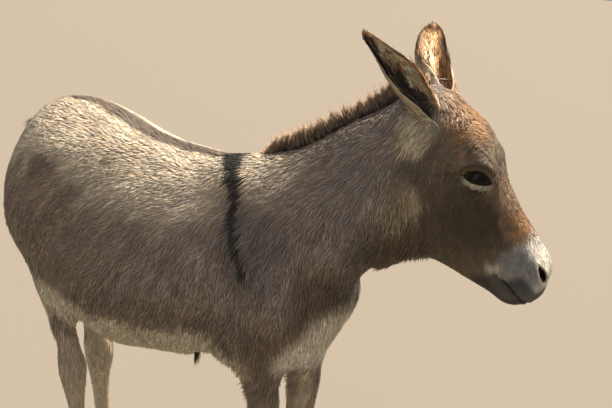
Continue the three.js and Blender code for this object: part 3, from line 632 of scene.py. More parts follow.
# %% [markdown]
# ## Lids, nostrils and lips
# The eyeball fills its socket, and the lids are a thin sheet of skin that lies on it, with a
# sharp rim. So the skin round each eye is laid on the ball, the corners nearest the almond's
# edge are drawn onto it, and what lies inside the almond is pushed behind the ball's surface.
# Nostrils are slanting pits with a raised rim, and the lips meet in one deep thin groove.

# %% Sculpt the face
EYE_AT = np.array([150.0, 46.5, -8.0])  # in the head's directions, mirrored for the other eye
EYE_RADIUS = 24.0
EYE_LONG = unit(np.array([0.618, 0.0, 0.786]))  # from the rear corner to the front one
EYE_UP = unit(np.array([-0.786, 0.0, 0.618]))
EYE_HALF, LID_UP, LID_DOWN = 22.5, 16.5, 3.8
LID_THICK, EYE_REACH = 2.0, 58
NOSTRIL_AT = np.array([347.0, 35.0, 20.0])
NOSTRIL_HALF, NOSTRIL_BREADTH, NOSTRIL_DEPTH, NOSTRIL_REACH = 15.5, 6.2, 15.0, 30
MOUTH_LINE = np.array([(325, -50), (334, -46), (347, -42), (364, -38), (381, -33), (400, -27)], float)


def almond(spot):
    """In the eye's plane: along, up, outwards, and a measure that is 1 on the lids' rim."""
    arm = spot - EYE_AT
    along, up, out = arm @ EYE_LONG, arm @ EYE_UP, arm[:, 1]
    tall = np.where(up > 0, LID_UP, LID_DOWN)
    rim = ((np.abs(along) / EYE_HALF) ** 1.7 + (np.abs(up) / tall) ** 1.7) ** (1 / 1.7)
    return along, up, out, rim


slit = unit(np.array([1.0, -0.15, 0.0]))
facing = np.array([0.12, 0.82, 0.5])
facing = unit(facing - slit * (facing @ slit))
NOSTRIL_AXES = np.stack([slit, facing, np.cross(slit, facing)], axis=1)


def nostril(spot):
    """Along the nostril, across it, outwards, and a measure that is 1 on its rim."""
    arm = (spot - NOSTRIL_AT) @ NOSTRIL_AXES
    along, out, across = arm.T
    breadth = NOSTRIL_BREADTH * (1 + 0.25 * np.clip(along / NOSTRIL_HALF, -1, 1))
    rim = ((np.abs(along) / NOSTRIL_HALF) ** 2 + (np.abs(across) / breadth) ** 2) ** 0.5
    return along, across, out, rim


def mouth_gap(spot):
    """Distance in mm from the line between the lips, seen from the side."""
    gap = np.full(len(spot), 1e9)
    flat = spot[:, [0, 2]]
    for a, b in zip(MOUTH_LINE[:-1], MOUTH_LINE[1:]):
        s = np.clip((flat - a) @ (b - a) / ((b - a) @ (b - a)), 0, 1)
        gap = np.minimum(gap, np.linalg.norm(flat - a - s[:, None] * (b - a), axis=1))
    return gap


def sculpt_eye(spot):
    along, up, out, rim = almond(spot)
    near = (np.linalg.norm(spot - EYE_AT, axis=1) < EYE_REACH) & (out > 2)
    snapped = near & (np.abs(rim - 1) < 0.13)
    along[snapped] /= rim[snapped]
    up[snapped] /= rim[snapped]
    rim[snapped] = 1.0
    off_axis = along**2 + up**2
    ball = np.sqrt(np.maximum(EYE_RADIUS**2 - off_axis, 25))
    lid = np.sqrt(np.maximum((EYE_RADIUS + LID_THICK) ** 2 - off_axis, 64))
    away = (rim - 1) * np.where(up > 0, LID_UP, LID_DOWN)
    laid = lid + (out - lid) * ease(1.0, 17, away)
    crease = 1.7 * np.exp(-(((away - 6.0) / 1.7) ** 2)) * (up > 0)
    bag = 0.9 * np.exp(-(((away - 6.5) / 2.0) ** 2)) * (up < 0)
    brow = 2.6 * np.exp(-(((away - 13) / 5.0) ** 2)) * ease(2, 8, up)
    laid = laid + (brow - crease - bag) * ease(EYE_HALF + 14, EYE_HALF - 4, np.abs(along))
    laid = np.maximum(laid, ball + 1.7)
    depth = np.where(rim >= 1, laid, ball - 5)
    moved = EYE_AT + along[:, None] * EYE_LONG + up[:, None] * EYE_UP + depth[:, None] * [0, 1, 0]
    spot[near] = moved[near]


def sculpt_nostril(spot):
    _, _, out, rim = nostril(spot)
    near = (np.linalg.norm(spot - NOSTRIL_AT, axis=1) < NOSTRIL_REACH) & (out > -20)
    pit = -NOSTRIL_DEPTH * ease(1.1, 0.55, rim)
    wing = 1.8 * np.exp(-(((rim - 1.45) / 0.3) ** 2))
    spot += ((pit + wing) * near)[:, None] * NOSTRIL_AXES[:, 1]


def sculpt_mouth(spot, inward):
    gap = mouth_gap(spot)
    here = ease(322, 336, spot[:, 0]) * (spot[:, 1] < 60)
    groove = 3.4 * np.exp(-((gap / 1.5) ** 2)) - 1.1 * np.exp(-(((gap - 6) / 3.2) ** 2))
    spot += inward * (groove * here)[:, None]


co = mesh_corners(joined)
spot, side = mirrored_head(co)
inward = -(mesh_normals(joined) @ HEAD_AXES.T)
inward[:, 1] *= side
work_zone = near_features(co, 30) & (head_share(co) > 0.5)
part = spot[work_zone]
sculpt_eye(part)
sculpt_nostril(part)
sculpt_mouth(part, inward[work_zone])
spot[work_zone] = part
spot[:, 1] *= side
co[work_zone] = from_head(spot[work_zone])
move_corners(joined, co)
joined.polygons.foreach_set("use_smooth", np.ones(len(joined.polygons), bool))
print("sculpted", int(work_zone.sum()), "corners of the face")

# %% [markdown]
# ## The unwrap
# The skin is given a map of its own shape for the coat's colours. The animal is split
# into head, neck, trunk, legs, tail and ears, each is projected along the axis that it faces,
# and the charts are packed on shelves in a square.

# %% Unwrap
CHART_GAP, SHEET_GROWTH = 0.012, 1.02  # metres between charts, and how a full sheet grows
TRUNK, NECK, LEGS, TAIL, HEAD, EAR = 0, 1, 2, 6, 7, 8  # legs take four numbers and ears two


def unwrap(mesh):
    co, loops = mesh_corners(mesh), len(mesh.loops)
    corner_of = np.empty(loops, np.int64)
    mesh.loops.foreach_get("vertex_index", corner_of)
    sizes = np.empty(len(mesh.polygons), np.int64)
    mesh.polygons.foreach_get("loop_total", sizes)
    face_of = np.repeat(np.arange(len(sizes)), sizes)
    middles, normals = np.empty(len(sizes) * 3, np.float32), np.empty(len(sizes) * 3, np.float32)
    mesh.polygons.foreach_get("center", middles)
    mesh.polygons.foreach_get("normal", normals)
    middles, normals = (a.reshape(-1, 3).astype(float) for a in (middles, normals))
    spot = from_withers(middles)
    region = np.where(spot[:, 2] < 430, LEGS + (spot[:, 0] > -150) + 2 * (spot[:, 1] > 0), TRUNK)
    region = np.where((region == TRUNK) & (spot[:, 0] > 120) & (spot[:, 2] > 640), NECK, region)
    region = np.where(tail_share(middles) > 0.5, TAIL, region)
    in_head = head_share(middles) > 0.5
    region = np.where(in_head, HEAD, region)
    which = ear_place(middles)[:, 3].astype(int)
    region = np.where(ear_share(middles) > 0.5, EAR + which, region)
    turned = np.where(in_head[:, None], normals @ HEAD_AXES.T, normals)
    axis = np.abs(turned).argmax(axis=1)
    sign = turned[np.arange(len(axis)), axis] > 0
    chart = region * 6 + axis * 2 + sign
    flat = np.empty((loops, 2))
    head_co = to_head(co) / 1000
    boxes = []
    for number in np.unique(chart):
        mine = chart[face_of] == number
        source = head_co if number // 6 == HEAD else co
        keep = [a for a in range(3) if a != (number % 6) // 2]
        flat[mine] = source[corner_of[mine]][:, keep]
        low, high = flat[mine].min(axis=0), flat[mine].max(axis=0)
        flat[mine] -= low
        boxes.append((high[1] - low[1], high[0] - low[0], mine))
    boxes.sort(key=lambda b: -b[0])
    width = math.sqrt(sum((h + CHART_GAP) * (w + CHART_GAP) for h, w, _ in boxes)) * SHEET_GROWTH
    while True:
        x = y = tall = 0.0
        places = []
        for h, w, _ in boxes:
            if x + w + CHART_GAP > width:
                x, y, tall = 0.0, y + tall, 0.0
            places.append((x, y))
            x, tall = x + w + CHART_GAP, max(tall, h + CHART_GAP)
        if y + tall <= width:
            break
        width *= SHEET_GROWTH
    for (_, _, mine), place in zip(boxes, places):
        flat[mine] = (flat[mine] + place) / width
    layer = mesh.uv_layers.new(name="OFBake")
    layer.data.foreach_set("uv", flat.ravel())
    mesh.uv_layers.active = layer
    print("unwrap:", len(boxes), "charts,", round(width, 2), "m across")


for layer in list(joined.uv_layers):
    joined.uv_layers.remove(layer)
unwrap(joined)

# %% [markdown]
# ## Markings
# A grey-dun donkey is mouse grey to warm beige, with a dark stripe along its back and another
# across its shoulders, a cream belly, cream inside the legs and between them, painted shade
# under the neck and on the breast, a pale muzzle with slate lips, a rusty patch above it, tan on
# the forehead and the ears' rims, and dark spots on the hocks.
# One function gives the colour at any point, so that skin and hair always agree. Each mark is
# a soft mask made from distances on the animal.

# %% Markings
def bump(values, middle, half):
    """1 at the middle, falling softly to 0 at half on either side."""
    return ease(half, 0, np.abs(values - middle))


def ball_mask(points, centre, reach, soft=0.5):
    """1 near a centre, 0 beyond its reach; both in mm."""
    return ease(reach, reach * soft, np.linalg.norm(points - np.asarray(centre, float), axis=1))


def waves(points, size, seed):
    """A smooth random field from -1 to 1 with features about size mm wide."""
    chance = np.random.default_rng(seed)
    total = np.zeros(len(points))
    for _ in range(7):
        direction = unit(chance.normal(size=3))
        total += np.sin(points @ direction * (2 * math.pi / size) * chance.uniform(0.6, 1.5)
                        + chance.uniform(0, 2 * math.pi))
    return np.clip(total / 3.2, -1, 1)


CROSS_LINE = [(-28, 0, 840), (6, 31, 838), (34, 65, 824), (44, 78, 804), (52, 94, 758),
              (62, 107, 716), (72, 110, 694), (84, 113, 668), (96, 116, 618)]
skin_tree = BVHTree.FromPolygons([Vector(v) for v in mesh_corners(joined)],
                                 [tuple(p.vertices) for p in joined.polygons])
cross_points = []
for a, b in zip(CROSS_LINE[:-1], CROSS_LINE[1:]):
    for s in np.linspace(0, 1, 6, endpoint=False):
        spot = np.array(a) * (1 - s) + np.array(b) * s
        for side in (-1, 1):
            found = skin_tree.find_nearest(Vector(at(spot * [1, side, 1])))[0]
            cross_points.append(tuple(from_withers(np.array(found))) + (len(cross_points) // 2,))
cross_points = np.array(cross_points)
CROSS_WIDTH = np.interp(cross_points[:, 3], [0, 8, 18, 28, 47], [21, 18, 12, 10, 8])


def cross_mask(spot):
    best = np.full(len(spot), -1e9)
    fade = ease(48, 39, cross_points[:, 3])
    for point, width, keep in zip(cross_points[:, :3], CROSS_WIDTH, fade):
        gap = np.linalg.norm(spot - point, axis=1)
        best = np.maximum(best, (1 - gap / width) * keep + (keep - 1))
    return ease(-0.22, 0.22, best)


def painted(base, coats):
    """The base colour with each coat laid over it in turn, by its share from 0 to 1."""
    for hex_colour, share in coats:
        base = base + (np.array(linear(hex_colour)[:3]) - base) * np.clip(share, 0, 1)[:, None]
    return base


DUN = "#9A8C82"
HOCKS, HOCK_REACH = ((-476, -68, 352), (-545, 66, 326)), 30  # dark spots, in mm from the withers


def markings(points, normals):
    """Linear colour of coat or skin at points in the frame."""
    spot = from_withers(points)
    x, y, z = spot.T
    rough = waves(spot, 60, 3) * 8
    tail = tail_share(points)
    # paler where the hair faces up on the back and rump: partly a sun-bleached coat, partly painted
    # sunlight
    bleached_and_sunlit = ease(0.2, 0.45, normals[:, 2] + rough * 0.012) * ease(190, 60, x)
    bleached_and_sunlit = bleached_and_sunlit * ease(690, 770, z - 75 * ease(-30, 50, x))
    stripe = ease(26, 17, np.abs(y - 8) + rough * 0.4) * ease(0.3, 0.7, normals[:, 2])
    stripe = stripe * ease(30, 0, x) * ease(760, 800, z)
    belly = ease(-0.08, -0.42, normals[:, 2] + rough * 0.012) * ease(560, 520, z)
    belly = belly * ease(90, 20, x) * ease(-560, -500, x)
    # where the neck's painted shade falls on the breast
    neck_shadow_on_breast = ball_mask(spot * [1, 0.8, 1], (205, 0, 640), 110, 0.4)
    front = ball_mask(spot * [0.8, 1, 0.9], (134, 0, 475), 106, 0.55) * ease(70, 110, x)
    inner = ease(0.15, 0.75, -normals[:, 1] * np.sign(y)) * ease(470, 430, z)
    shank = ease(440, 370, z)
    behind = shank * ease(0.2, 0.9, -normals[:, 0]) * 0.6
    rear = ease(-560, -610, x) * ease(780, 640, z) * ease(60, 20, np.abs(y))
    colour = painted(np.tile(np.array(linear(DUN)[:3]), (len(points), 1)), [
        ("#8C7A6C", 0.7 * ease(-60, -380, x) * ease(480, 620, z)),  # flank
        ("#78675A", 0.75 * ease(640, 540, z) * ease(-520, -380, x)),  # low on the ribs
        ("#686364", 0.8 * ball_mask(spot * [1, 0, 1], (90, 0, 715), 125, 0.2) * (x < 260)),  # shoulder
        ("#928881", 0.8 * ease(130, 220, x) * ease(640, 760, z)),  # neck
        # painted sunlight, with some real bleaching, on the upward-facing back and rump
        ("#E3D4BD", 0.9 * bleached_and_sunlit),
        ("#5E4E45", 0.92 * stripe),  # stripe along the back
        ("#FFF1D2", 0.97 * belly),
        # painted shade of the neck on the breast
        ("#45371F", 0.85 * neck_shadow_on_breast * ease(110, 170, x)),
        ("#FFF6E0", 0.97 * front),  # chest between the forelegs
        # painted shadow of the jaw and head on the underside of the neck
        ("#33281A", 0.8 * ease(245, 300, x) * ease(820, 740, z)),  # under the neck
        ("#B7A48A", 0.85 * shank * (x > -200)),
        # tan hind shanks, made paler than the fore ones by painted sunlight
        ("#D6C4AA", 0.85 * shank * (x <= -200)),
        ("#E2D4B8", 0.85 * np.maximum(inner, behind)),  # insides and backs of the legs
        ("#9A8975", 0.5 * ease(120, 60, z)),  # pasterns
        *(("#4C3A2F", 0.7 * ball_mask(spot, hock, HOCK_REACH)) for hock in HOCKS),
        ("#CDBDA3", 0.7 * rear * (1 - tail)),
        ("#463A33", 0.75 * tail * ease(0.0, -0.8, normals[:, 0])),
        ("#0D0B0B", 0.98 * cross_mask(spot + rough[:, None] * [0.3, 0, 0])),
    ])
    return ear_markings(points, normals, head_markings(points, colour))


def head_markings(points, colour):
    spot, _ = mirrored_head(points)
    down, aside, out = spot.T
    rough = waves(spot, 34, 9)
    rust = ease(215, 245, down) * ease(300, 278, down + rough * 7) * ease(-16, 10, out + rough * 9)
    pale = ease(-14, 14, down - 278 - 0.28 * (34 - out) + rough * 5) * ease(-78, -60, out)
    gap = mouth_gap(spot)
    above = out - np.interp(down, MOUTH_LINE[:, 0], MOUTH_LINE[:, 1])
    upper = ease(328, 344, down) * ease(40, 26, above) * ease(-2, 2, above)
    upper = np.maximum(upper, ease(366, 380, down) * ease(26, 12, out))
    _, across, _, hole = nostril(spot)
    near_hole = (np.linalg.norm(spot - NOSTRIL_AT, axis=1) < 32).astype(float)
    along, up, outwards, rim = almond(spot)
    near = (outwards > 0) & (np.linalg.norm(spot - EYE_AT, axis=1) < 60)
    away = (rim - 1) * np.where(up > 0, LID_UP, LID_DOWN)
    under = near * bump(away, 5.5, 8) * ease(1, -4, up) * ease(30, 18, np.abs(along))
    fold = near * bump(along, 33, 9) * ease(-26, -10, up) * ease(26, 10, up)
    face = painted(colour, [
        ("#6B5E4B", 0.9 * ease(20, 80, down)),
        ("#4A3D2B", 0.85 * ball_mask(spot, (205, 55, -70), 120, 0.3)),  # cheek
        ("#33281B", 0.65 * ball_mask(spot, (212, 48, -42), 74, 0.3)),
        ("#B98E66", 0.9 * ease(125, 70, down + rough * 10) * ease(-35, 5, out)),  # forehead
        ("#5A4B41", 0.75 * ball_mask(spot + rough[:, None] * 8, (108, 52, 10), 36, 0.3)),  # temple
        ("#6E6058", 0.6 * ease(60, 95, down) * ease(135, 110, down) * ease(24, 12, aside)),
        ("#A5896F", 0.75 * ease(140, 180, down) * ease(-14, 14, out + rough * 6)),  # bridge
        ("#B0835C", 0.75 * rust),  # patch above the muzzle
        ("#D2CDC3", pale),  # muzzle
        ("#E3D3B4", 0.85 * ball_mask(spot, (322, 36, -44), 26)),  # corner of the mouth
        ("#6C6F71", ball_mask(spot + rough[:, None] * 3, (326, 40, -14), 54, 0.5) * 0.85),
        ("#34383B", 0.92 * upper * (hole > 1)),  # upper lip
        ("#27201B", 0.9 * ease(300, 322, down) * ease(2, -3, above)),  # chin
        # painted shade in the groove between the lips
        ("#19120F", 0.95 * ease(3.2, 1.2, gap) * ease(326, 334, down)),
        ("#D9CFC0", 0.9 * near_hole * bump(hole, 1.35, 0.6) * ease(4, -4, across)),
        # painted shade inside the nostril's pit
        ("#0F0B0A", near_hole * ease(1.1, 0.9, hole)),
        ("#241B14", 0.9 * near * bump(along, -4, 34) * bump(up, -22, 13)),  # below the eye
        ("#C9C3B2", 0.95 * under),  # pale ring
        ("#6F5A30", 0.75 * near * bump(away, 3.4, 2.6) * ease(0, 4, up)),  # upper lid
        # painted shade in the crease above the upper lid
        ("#3A2E28", 0.7 * near * bump(away, 7.2, 2.0) * ease(0, 4, up)),
        ("#463A33", 0.75 * fold),
        ("#140E0B", near * ease(2.6, 1.3, away)),  # rim of the lids
        ("#F7E6BE", 0.85 * ball_mask(spot, (30, 50, -74), 54, 0.35)),  # wool below the ear
        ("#C9B795", 0.6 * ball_mask(spot + rough[:, None] * 8, (130, 75, -150), 62, 0.4)),  # throat
        *(("#1C1411", 0.9 * ease(27, 17, ear_foot(points, ear))) for ear in EARS.values()),
    ])
    return colour + (face - colour) * head_share(points)[:, None]


def ear_foot(points, ear):
    """Distance in mm from a spot just above an ear's root."""
    root, axis, _, _ = ear_axes(ear)
    return np.linalg.norm(points - root - axis * 0.014, axis=1) * 1000


def ear_hollow(points, normals):
    """1 inside the scoop of an ear, 0 on its outside."""
    place = ear_place(points)
    facing = np.zeros(len(points))
    for index, ear in enumerate(EARS.values()):
        _, _, opening, across = ear_axes(ear)
        turn = np.radians(place[:, 2])[:, None]
        arm = np.sin(turn) * across - np.cos(turn) * opening
        facing = np.where(place[:, 3] == index, -np.sum(normals * arm, axis=1), facing)
    return ease(-0.1, 0.3, facing) * ear_share(points)


def ear_markings(points, normals, colour):
    along, _, turn, which = ear_place(points).T
    rough = waves(from_withers(points), 22, 5)
    right, left, all_over = which == 0, which == 1, np.ones(len(points))
    edge = ease(0.72, 0.92, np.abs(turn) / np.interp(along, EAR_ROWS[:, 0], EAR_ROWS[:, 2]))
    # how far round the near ear's hollow the painted shadow of its depths reaches
    deep = 6 + 22 * ease(0.45, 0.2, along) + 45 * ease(0.2, 0.04, along) + 12 * ease(0.6, 0.85, along)
    deep = deep + 11 * rough
    wisps = ease(0.1, 0.5, waves(from_withers(points), 8, 6)) * ease(deep - 50, deep, turn)
    # where the far ear's scoop is deep: painted shadow over its darker hair
    shade = bump(along + 0.05 * rough, 0.22, 0.24) * bump(turn, 10, 150)
    back = painted(colour, [("#C7B698", all_over), ("#8A6E50", ease(0.45, 0.9, along))])
    front = painted(back, [
        ("#C99C68", all_over),
        # painted sunlight on the pale hair in the near ear's hollow
        ("#FFDFB2", 0.97 * right),
        ("#BE8550", 0.7 * right * ease(0.0, 0.7, rough)),
        # painted shadow deep in the near ear's scoop, over its dark hair
        ("#1B120E", 0.96 * right * ease(deep + 16, deep - 12, turn) * (1 - 0.6 * wisps)),
        ("#CDA77E", 0.85 * left * bump(along, 0.62, 0.36)),
        # painted shadow deep in the far ear's scoop, over its darker hair
        ("#3E2C20", 0.95 * left * shade),
    ])
    ear = painted(back + (front - back) * ear_hollow(points, normals)[:, None], [
        ("#75503A", 0.85 * left * edge * ease(0.1, 0.3, along)),
        ("#D9985C", 0.8 * right * edge * (turn > 0)),
        ("#2B1D17", 0.85 * right * bump(along + rough * 0.03, 0.88, 0.1) * ease(60, 20, turn)),
        ("#6E4A2F", 0.85 * left * ease(0.86, 0.95, along)),  # tips
        ("#B98A5C", 0.8 * right * ease(0.93, 0.98, along)),
    ])
    return colour + (ear - colour) * ear_share(points)[:, None]


co = mesh_corners(joined)
add_layer(joined, "marking", "FLOAT_COLOR", opaque(markings(co, mesh_normals(joined))))
print("marked", len(co), "corners")

# %% [markdown]
# ## How the coat lies
# Hair on a donkey runs back from the withers and over the rump, down the ribs and the
# shoulders, down the legs and away from the poll over the face. A few named directions are
# set at places on the animal, in the same units as the solids, and every root takes the blend
# of the nearest ones, laid flat on the skin.

# %% Lie of the hair
BODY_LIE = [  # (x, y, z) in mm from the withers, right side; direction
    ((-480, -60, 880), (-1, 0, -0.1)), ((-600, -60, 780), (-0.4, 0, -1)),
    ((-480, -140, 780), (-0.9, 0, -0.5)), ((-500, -130, 640), (-0.4, 0, -1)),
    ((-330, -165, 720), (-0.75, 0, -0.75)), ((-330, -60, 875), (-1, 0, -0.15)),
    ((-150, -50, 845), (-1, 0, -0.1)), ((-150, -165, 650), (-0.5, 0, -0.9)),
    ((-150, -150, 520), (-0.35, 0, -1)), ((-180, -80, 425), (-0.7, 0.7, -0.3)),
    ((-250, 0, 405), (-1, 0, 0)), ((-340, -120, 480), (-0.6, 0, -0.8)),
    ((-20, -130, 580), (-0.25, 0, -1)), ((-20, -50, 850), (-0.9, -0.2, -0.3)),
    ((60, -110, 790), (-0.5, 0, -0.85)), ((80, -140, 680), (-0.3, 0, -1)),
    ((130, -120, 600), (-0.15, 0, -1)), ((60, -120, 500), (-0.15, 0, -1)),
    ((200, 0, 640), (-0.1, 0, -1)), ((160, 0, 540), (-0.1, 0, -1)), ((40, 0, 470), (-0.8, 0, -0.2)),
    ((180, -20, 930), (-0.6, -0.3, -0.7)), ((200, -70, 840), (-0.55, 0, -0.85)),
    ((280, -20, 720), (-0.45, 0, -0.9)), ((300, 10, 960), (-0.6, -0.2, -0.7)),
    ((86, -46, 300), (0, 0, -1)), ((86, -46, 80), (0, 0, -1)),
    ((-440, -68, 300), (0, 0, -1)), ((-430, -68, 90), (0, 0, -1)),
    ((-560, -40, 640), (0, 0.1, -1)), ((-600, 0, 840), (-0.3, 0, -1)),
    ((-570, -30, 860), (-0.8, 0, -0.6)), ((-440, -60, 430), (-0.1, 0, -1)),
]
HEAD_LIE = [  # (down the face, aside, out of the face) on the left; direction in the same axes
    ((0, 0, 10), (1, 0, 0.2)), ((40, 30, 20), (0.8, 0.5, 0)), ((75, 0, 30), (-0.5, 0.2, 0.2)),
    ((90, 40, 25), (-0.3, 0.8, -0.3)), ((150, 0, 34), (1, 0.2, 0)), ((260, 0, 27), (1, 0, 0)),
    ((240, 40, -10), (0.95, 0, -0.3)), ((350, 30, 0), (0.9, 0, -0.4)), ((385, 0, -20), (0.6, 0, -0.8)),
    ((200, 55, -45), (0.9, 0, -0.4)), ((120, 60, 0), (-0.2, 0.3, -0.9)), ((90, 60, -30), (0.4, 0, -0.9)),
    ((150, 60, -90), (0.9, 0, -0.44)), ((220, 40, -140), (0.8, 0, -0.4)), ((60, 50, -110), (0.75, 0, -0.6)),
    ((300, 30, -100), (0.9, 0, -0.1)), ((20, 45, -60), (0.6, 0.2, -0.7)), ((330, 0, -90), (1, 0, 0)),
]


def lie_table():
    places, ways = [], []
    for side in (1, -1):
        for place, way in BODY_LIE:
            places.append(at(np.array(place) * [1, side, 1]))
            ways.append(unit(np.array(way, float) * [1, side, 1]))
        for place, way in HEAD_LIE:
            places.append(from_head(np.array(place) * [1, side, 1]))
            ways.append(unit((np.array(way, float) * [1, side, 1]) @ HEAD_AXES))
    return np.array(places), np.array(ways)


LIE_PLACES, LIE_WAYS = lie_table()
LIE_BLUR = 0.035


def flattened(ways, normals):
    """Directions laid flat on the skin."""
    return unit(ways - normals * np.sum(ways * normals, axis=1, keepdims=True))


def lie_of_hair(points, normals):
    way = np.zeros_like(points)
    for place, direction in zip(LIE_PLACES, LIE_WAYS):
        weight = 1 / (np.sum((points - place) ** 2, axis=1) + LIE_BLUR**2) ** 2
        way += weight[:, None] * direction
    way = unit(way)
    tail = tail_share(points)[:, None]
    way = way * (1 - tail) + np.array([0.0, 0.05, -1.0]) * tail
    place, share = ear_place(points), ear_share(points)[:, None]
    for index, ear in enumerate(EARS.values()):
        _, axis, _, across = ear_axes(ear)
        to_edge = across * np.sign(place[:, 2])[:, None] * 0.25
        mine = share * (place[:, 3] == index)[:, None]
        way = way * (1 - mine) + (axis + to_edge) * mine
    return flattened(way, normals)


# %% [markdown]
# ## Roots and locks
# Two Geometry Nodes trees make the coat. The first scatters roots over the skin as thickly as
# an attribute asks. The second puts one lock on every root, turned, stretched and lifted by
# the root's own attributes, makes them real and gives each a small patch on the skin's
# unwrap. A lock is a thin three-sided spike of ten triangles that rises a little from the skin
# and comes down again at its tip, as a clump of hairs does.

# %% The two trees
PATCH = 0.003  # size of a lock's patch on the unwrap


def new_tree(name, inputs):
    tree = bpy.data.node_groups.new(name, "GeometryNodeTree")
    tree.interface.new_socket("Geometry", in_out="INPUT", socket_type="NodeSocketGeometry")
    for label, kind, value in inputs:
        socket = tree.interface.new_socket(label, in_out="INPUT", socket_type=kind)
        if value is not None:
            socket.default_value = value
    tree.interface.new_socket("Geometry", in_out="OUTPUT", socket_type="NodeSocketGeometry")
    return tree


def named(tree, name, kind="FLOAT_VECTOR"):
    return add(tree, "GeometryNodeInputNamedAttribute", {"data_type": kind}, Name=name).outputs["Attribute"]


roots_tree = new_tree("scatter_roots", [("Seed", "NodeSocketInt", 1)])
given = add(roots_tree, "NodeGroupInput")
scatter = add(roots_tree, "GeometryNodeDistributePointsOnFaces", Mesh=given.outputs["Geometry"],
              Density=named(roots_tree, "hairs", "FLOAT"), Seed=given.outputs["Seed"])
marked = add(roots_tree, "GeometryNodeStoreNamedAttribute",
             {"data_type": "FLOAT_VECTOR", "domain": "POINT"}, Name="outward",
             Geometry=scatter.outputs["Points"], Value=scatter.outputs["Normal"])
as_mesh = add(roots_tree, "GeometryNodePointsToVertices", Points=marked.outputs["Geometry"])
add(roots_tree, "NodeGroupOutput", Geometry=as_mesh.outputs["Mesh"])

locks_tree = new_tree("grow_locks", [
    ("Lock", "NodeSocketObject", None), ("Patch", "NodeSocketFloat", PATCH),
    ("Hair", "NodeSocketMaterial", None),
])
given = add(locks_tree, "NodeGroupInput")
one_lock = add(locks_tree, "GeometryNodeObjectInfo", Object=given.outputs["Lock"])
turn = add(locks_tree, "FunctionNodeEulerToRotation", Euler=named(locks_tree, "turn"))
planted = add(locks_tree, "GeometryNodeInstanceOnPoints", Points=given.outputs["Geometry"],
              Instance=one_lock.outputs["Geometry"], Rotation=turn.outputs["Rotation"],
              Scale=named(locks_tree, "size"))
real = add(locks_tree, "GeometryNodeRealizeInstances", Geometry=planted.outputs["Instances"])
patch = add(locks_tree, "ShaderNodeVectorMath", {"operation": "SCALE"}, i0=named(locks_tree, "patch"),
            Scale=given.outputs["Patch"])
baked = add(locks_tree, "ShaderNodeVectorMath", {"operation": "ADD"}, i0=named(locks_tree, "root_uv"),
            i1=patch.outputs["Vector"])
mapped = add(locks_tree, "GeometryNodeStoreNamedAttribute", {"data_type": "FLOAT2", "domain": "CORNER"},
             Geometry=real.outputs["Geometry"], Name="OFBake", Value=baked.outputs["Vector"])
smooth = add(locks_tree, "GeometryNodeSetShadeSmooth", Geometry=mapped.outputs["Geometry"])
dressed = add(locks_tree, "GeometryNodeSetMaterial", Geometry=smooth.outputs["Geometry"],
              Material=given.outputs["Hair"])
add(locks_tree, "NodeGroupOutput", Geometry=dressed.outputs["Geometry"])


def socket_id(tree, label):
    return next(s.identifier for s in tree.interface.items_tree if s.name == label and s.in_out == "INPUT")


def run_tree(thing, tree, values):
    """Runs a tree on an object and returns the result as a plain mesh."""
    step = thing.modifiers.new(tree.name, "NODES")
    step.node_group = tree
    for label, value in values.items():
        step[socket_id(tree, label)] = value
    thing.update_tag()
    made = evaluated_mesh(thing)
    thing.modifiers.remove(step)
    return made


def make_lock(name, stations):
    """A three-sided spike along x; stations are (x, half width, height, thickness), the last its tip."""
    points, faces, patches = [], [], []
    for x, half, height, thick in stations[:-1]:
        points += [(x, -half, height), (x, half, height), (x, 0, height + thick)]
        patches += [(x, 0), (x, 1), (x, 0.5)]
    x, _, height, _ = stations[-1]
    points.append((x, 0, height))
    patches.append((1, 0.5))
    for ring in range(len(stations) - 2):
        for i in range(3):
            a, b = ring * 3 + i, ring * 3 + (i + 1) % 3
            faces.append((a, a + 3, b + 3, b))
    last = (len(stations) - 2) * 3
    for i in range(3):
        faces.append((last + i, len(points) - 1, last + (i + 1) % 3))
    faces.append((0, 1, 2))
    lock = mesh_object(name, points, faces)
    add_layer(lock.data, "patch", "FLOAT_VECTOR", [(u, v, 0) for u, v in patches])
    add_layer(lock.data, "grown", "FLOAT", [u for u, _ in patches])
    face_outwards(lock.data)
    lock.hide_render = True
    return lock


coat_lock = make_lock("coat_lock", [(0, 0.35, -0.08, 0.06), (0.4, 0.5, 0.7, 0.09), (1, 0, 0.75, 0)])
print("lock", len(coat_lock.data.vertices), "corners", len(coat_lock.data.polygons), "faces")

# %% Streaks along the lie
STREAK_STEPS = np.arange(-5, 6) * 0.009  # metres walked along the hair, either way


def smeared(values, points, ways):
    """Each value averaged with those met along the lie of the hair, which draws streaks."""
    nearest = nearest_in(points)
    total = np.zeros(len(points))
    for step in STREAK_STEPS:
        total += values[nearest(points + ways * step)]
    total = total / len(STREAK_STEPS)
    return (total - total.mean()) / total.std()


co, out = mesh_corners(joined), mesh_normals(joined)
streaks = smeared(np.random.default_rng(3).normal(size=len(co)), co, lie_of_hair(co, out))
add_layer(joined, "streak", "FLOAT", streaks)
print("streaks on", len(streaks), "corners")

# %% Scatter the roots
BODY_LOCKS, LEG_LOSS, EAR_LOCKS = 80000, 20000, 120000  # locks per square metre
FACE_LOCKS, MUZZLE_GAIN = 105000, 70000


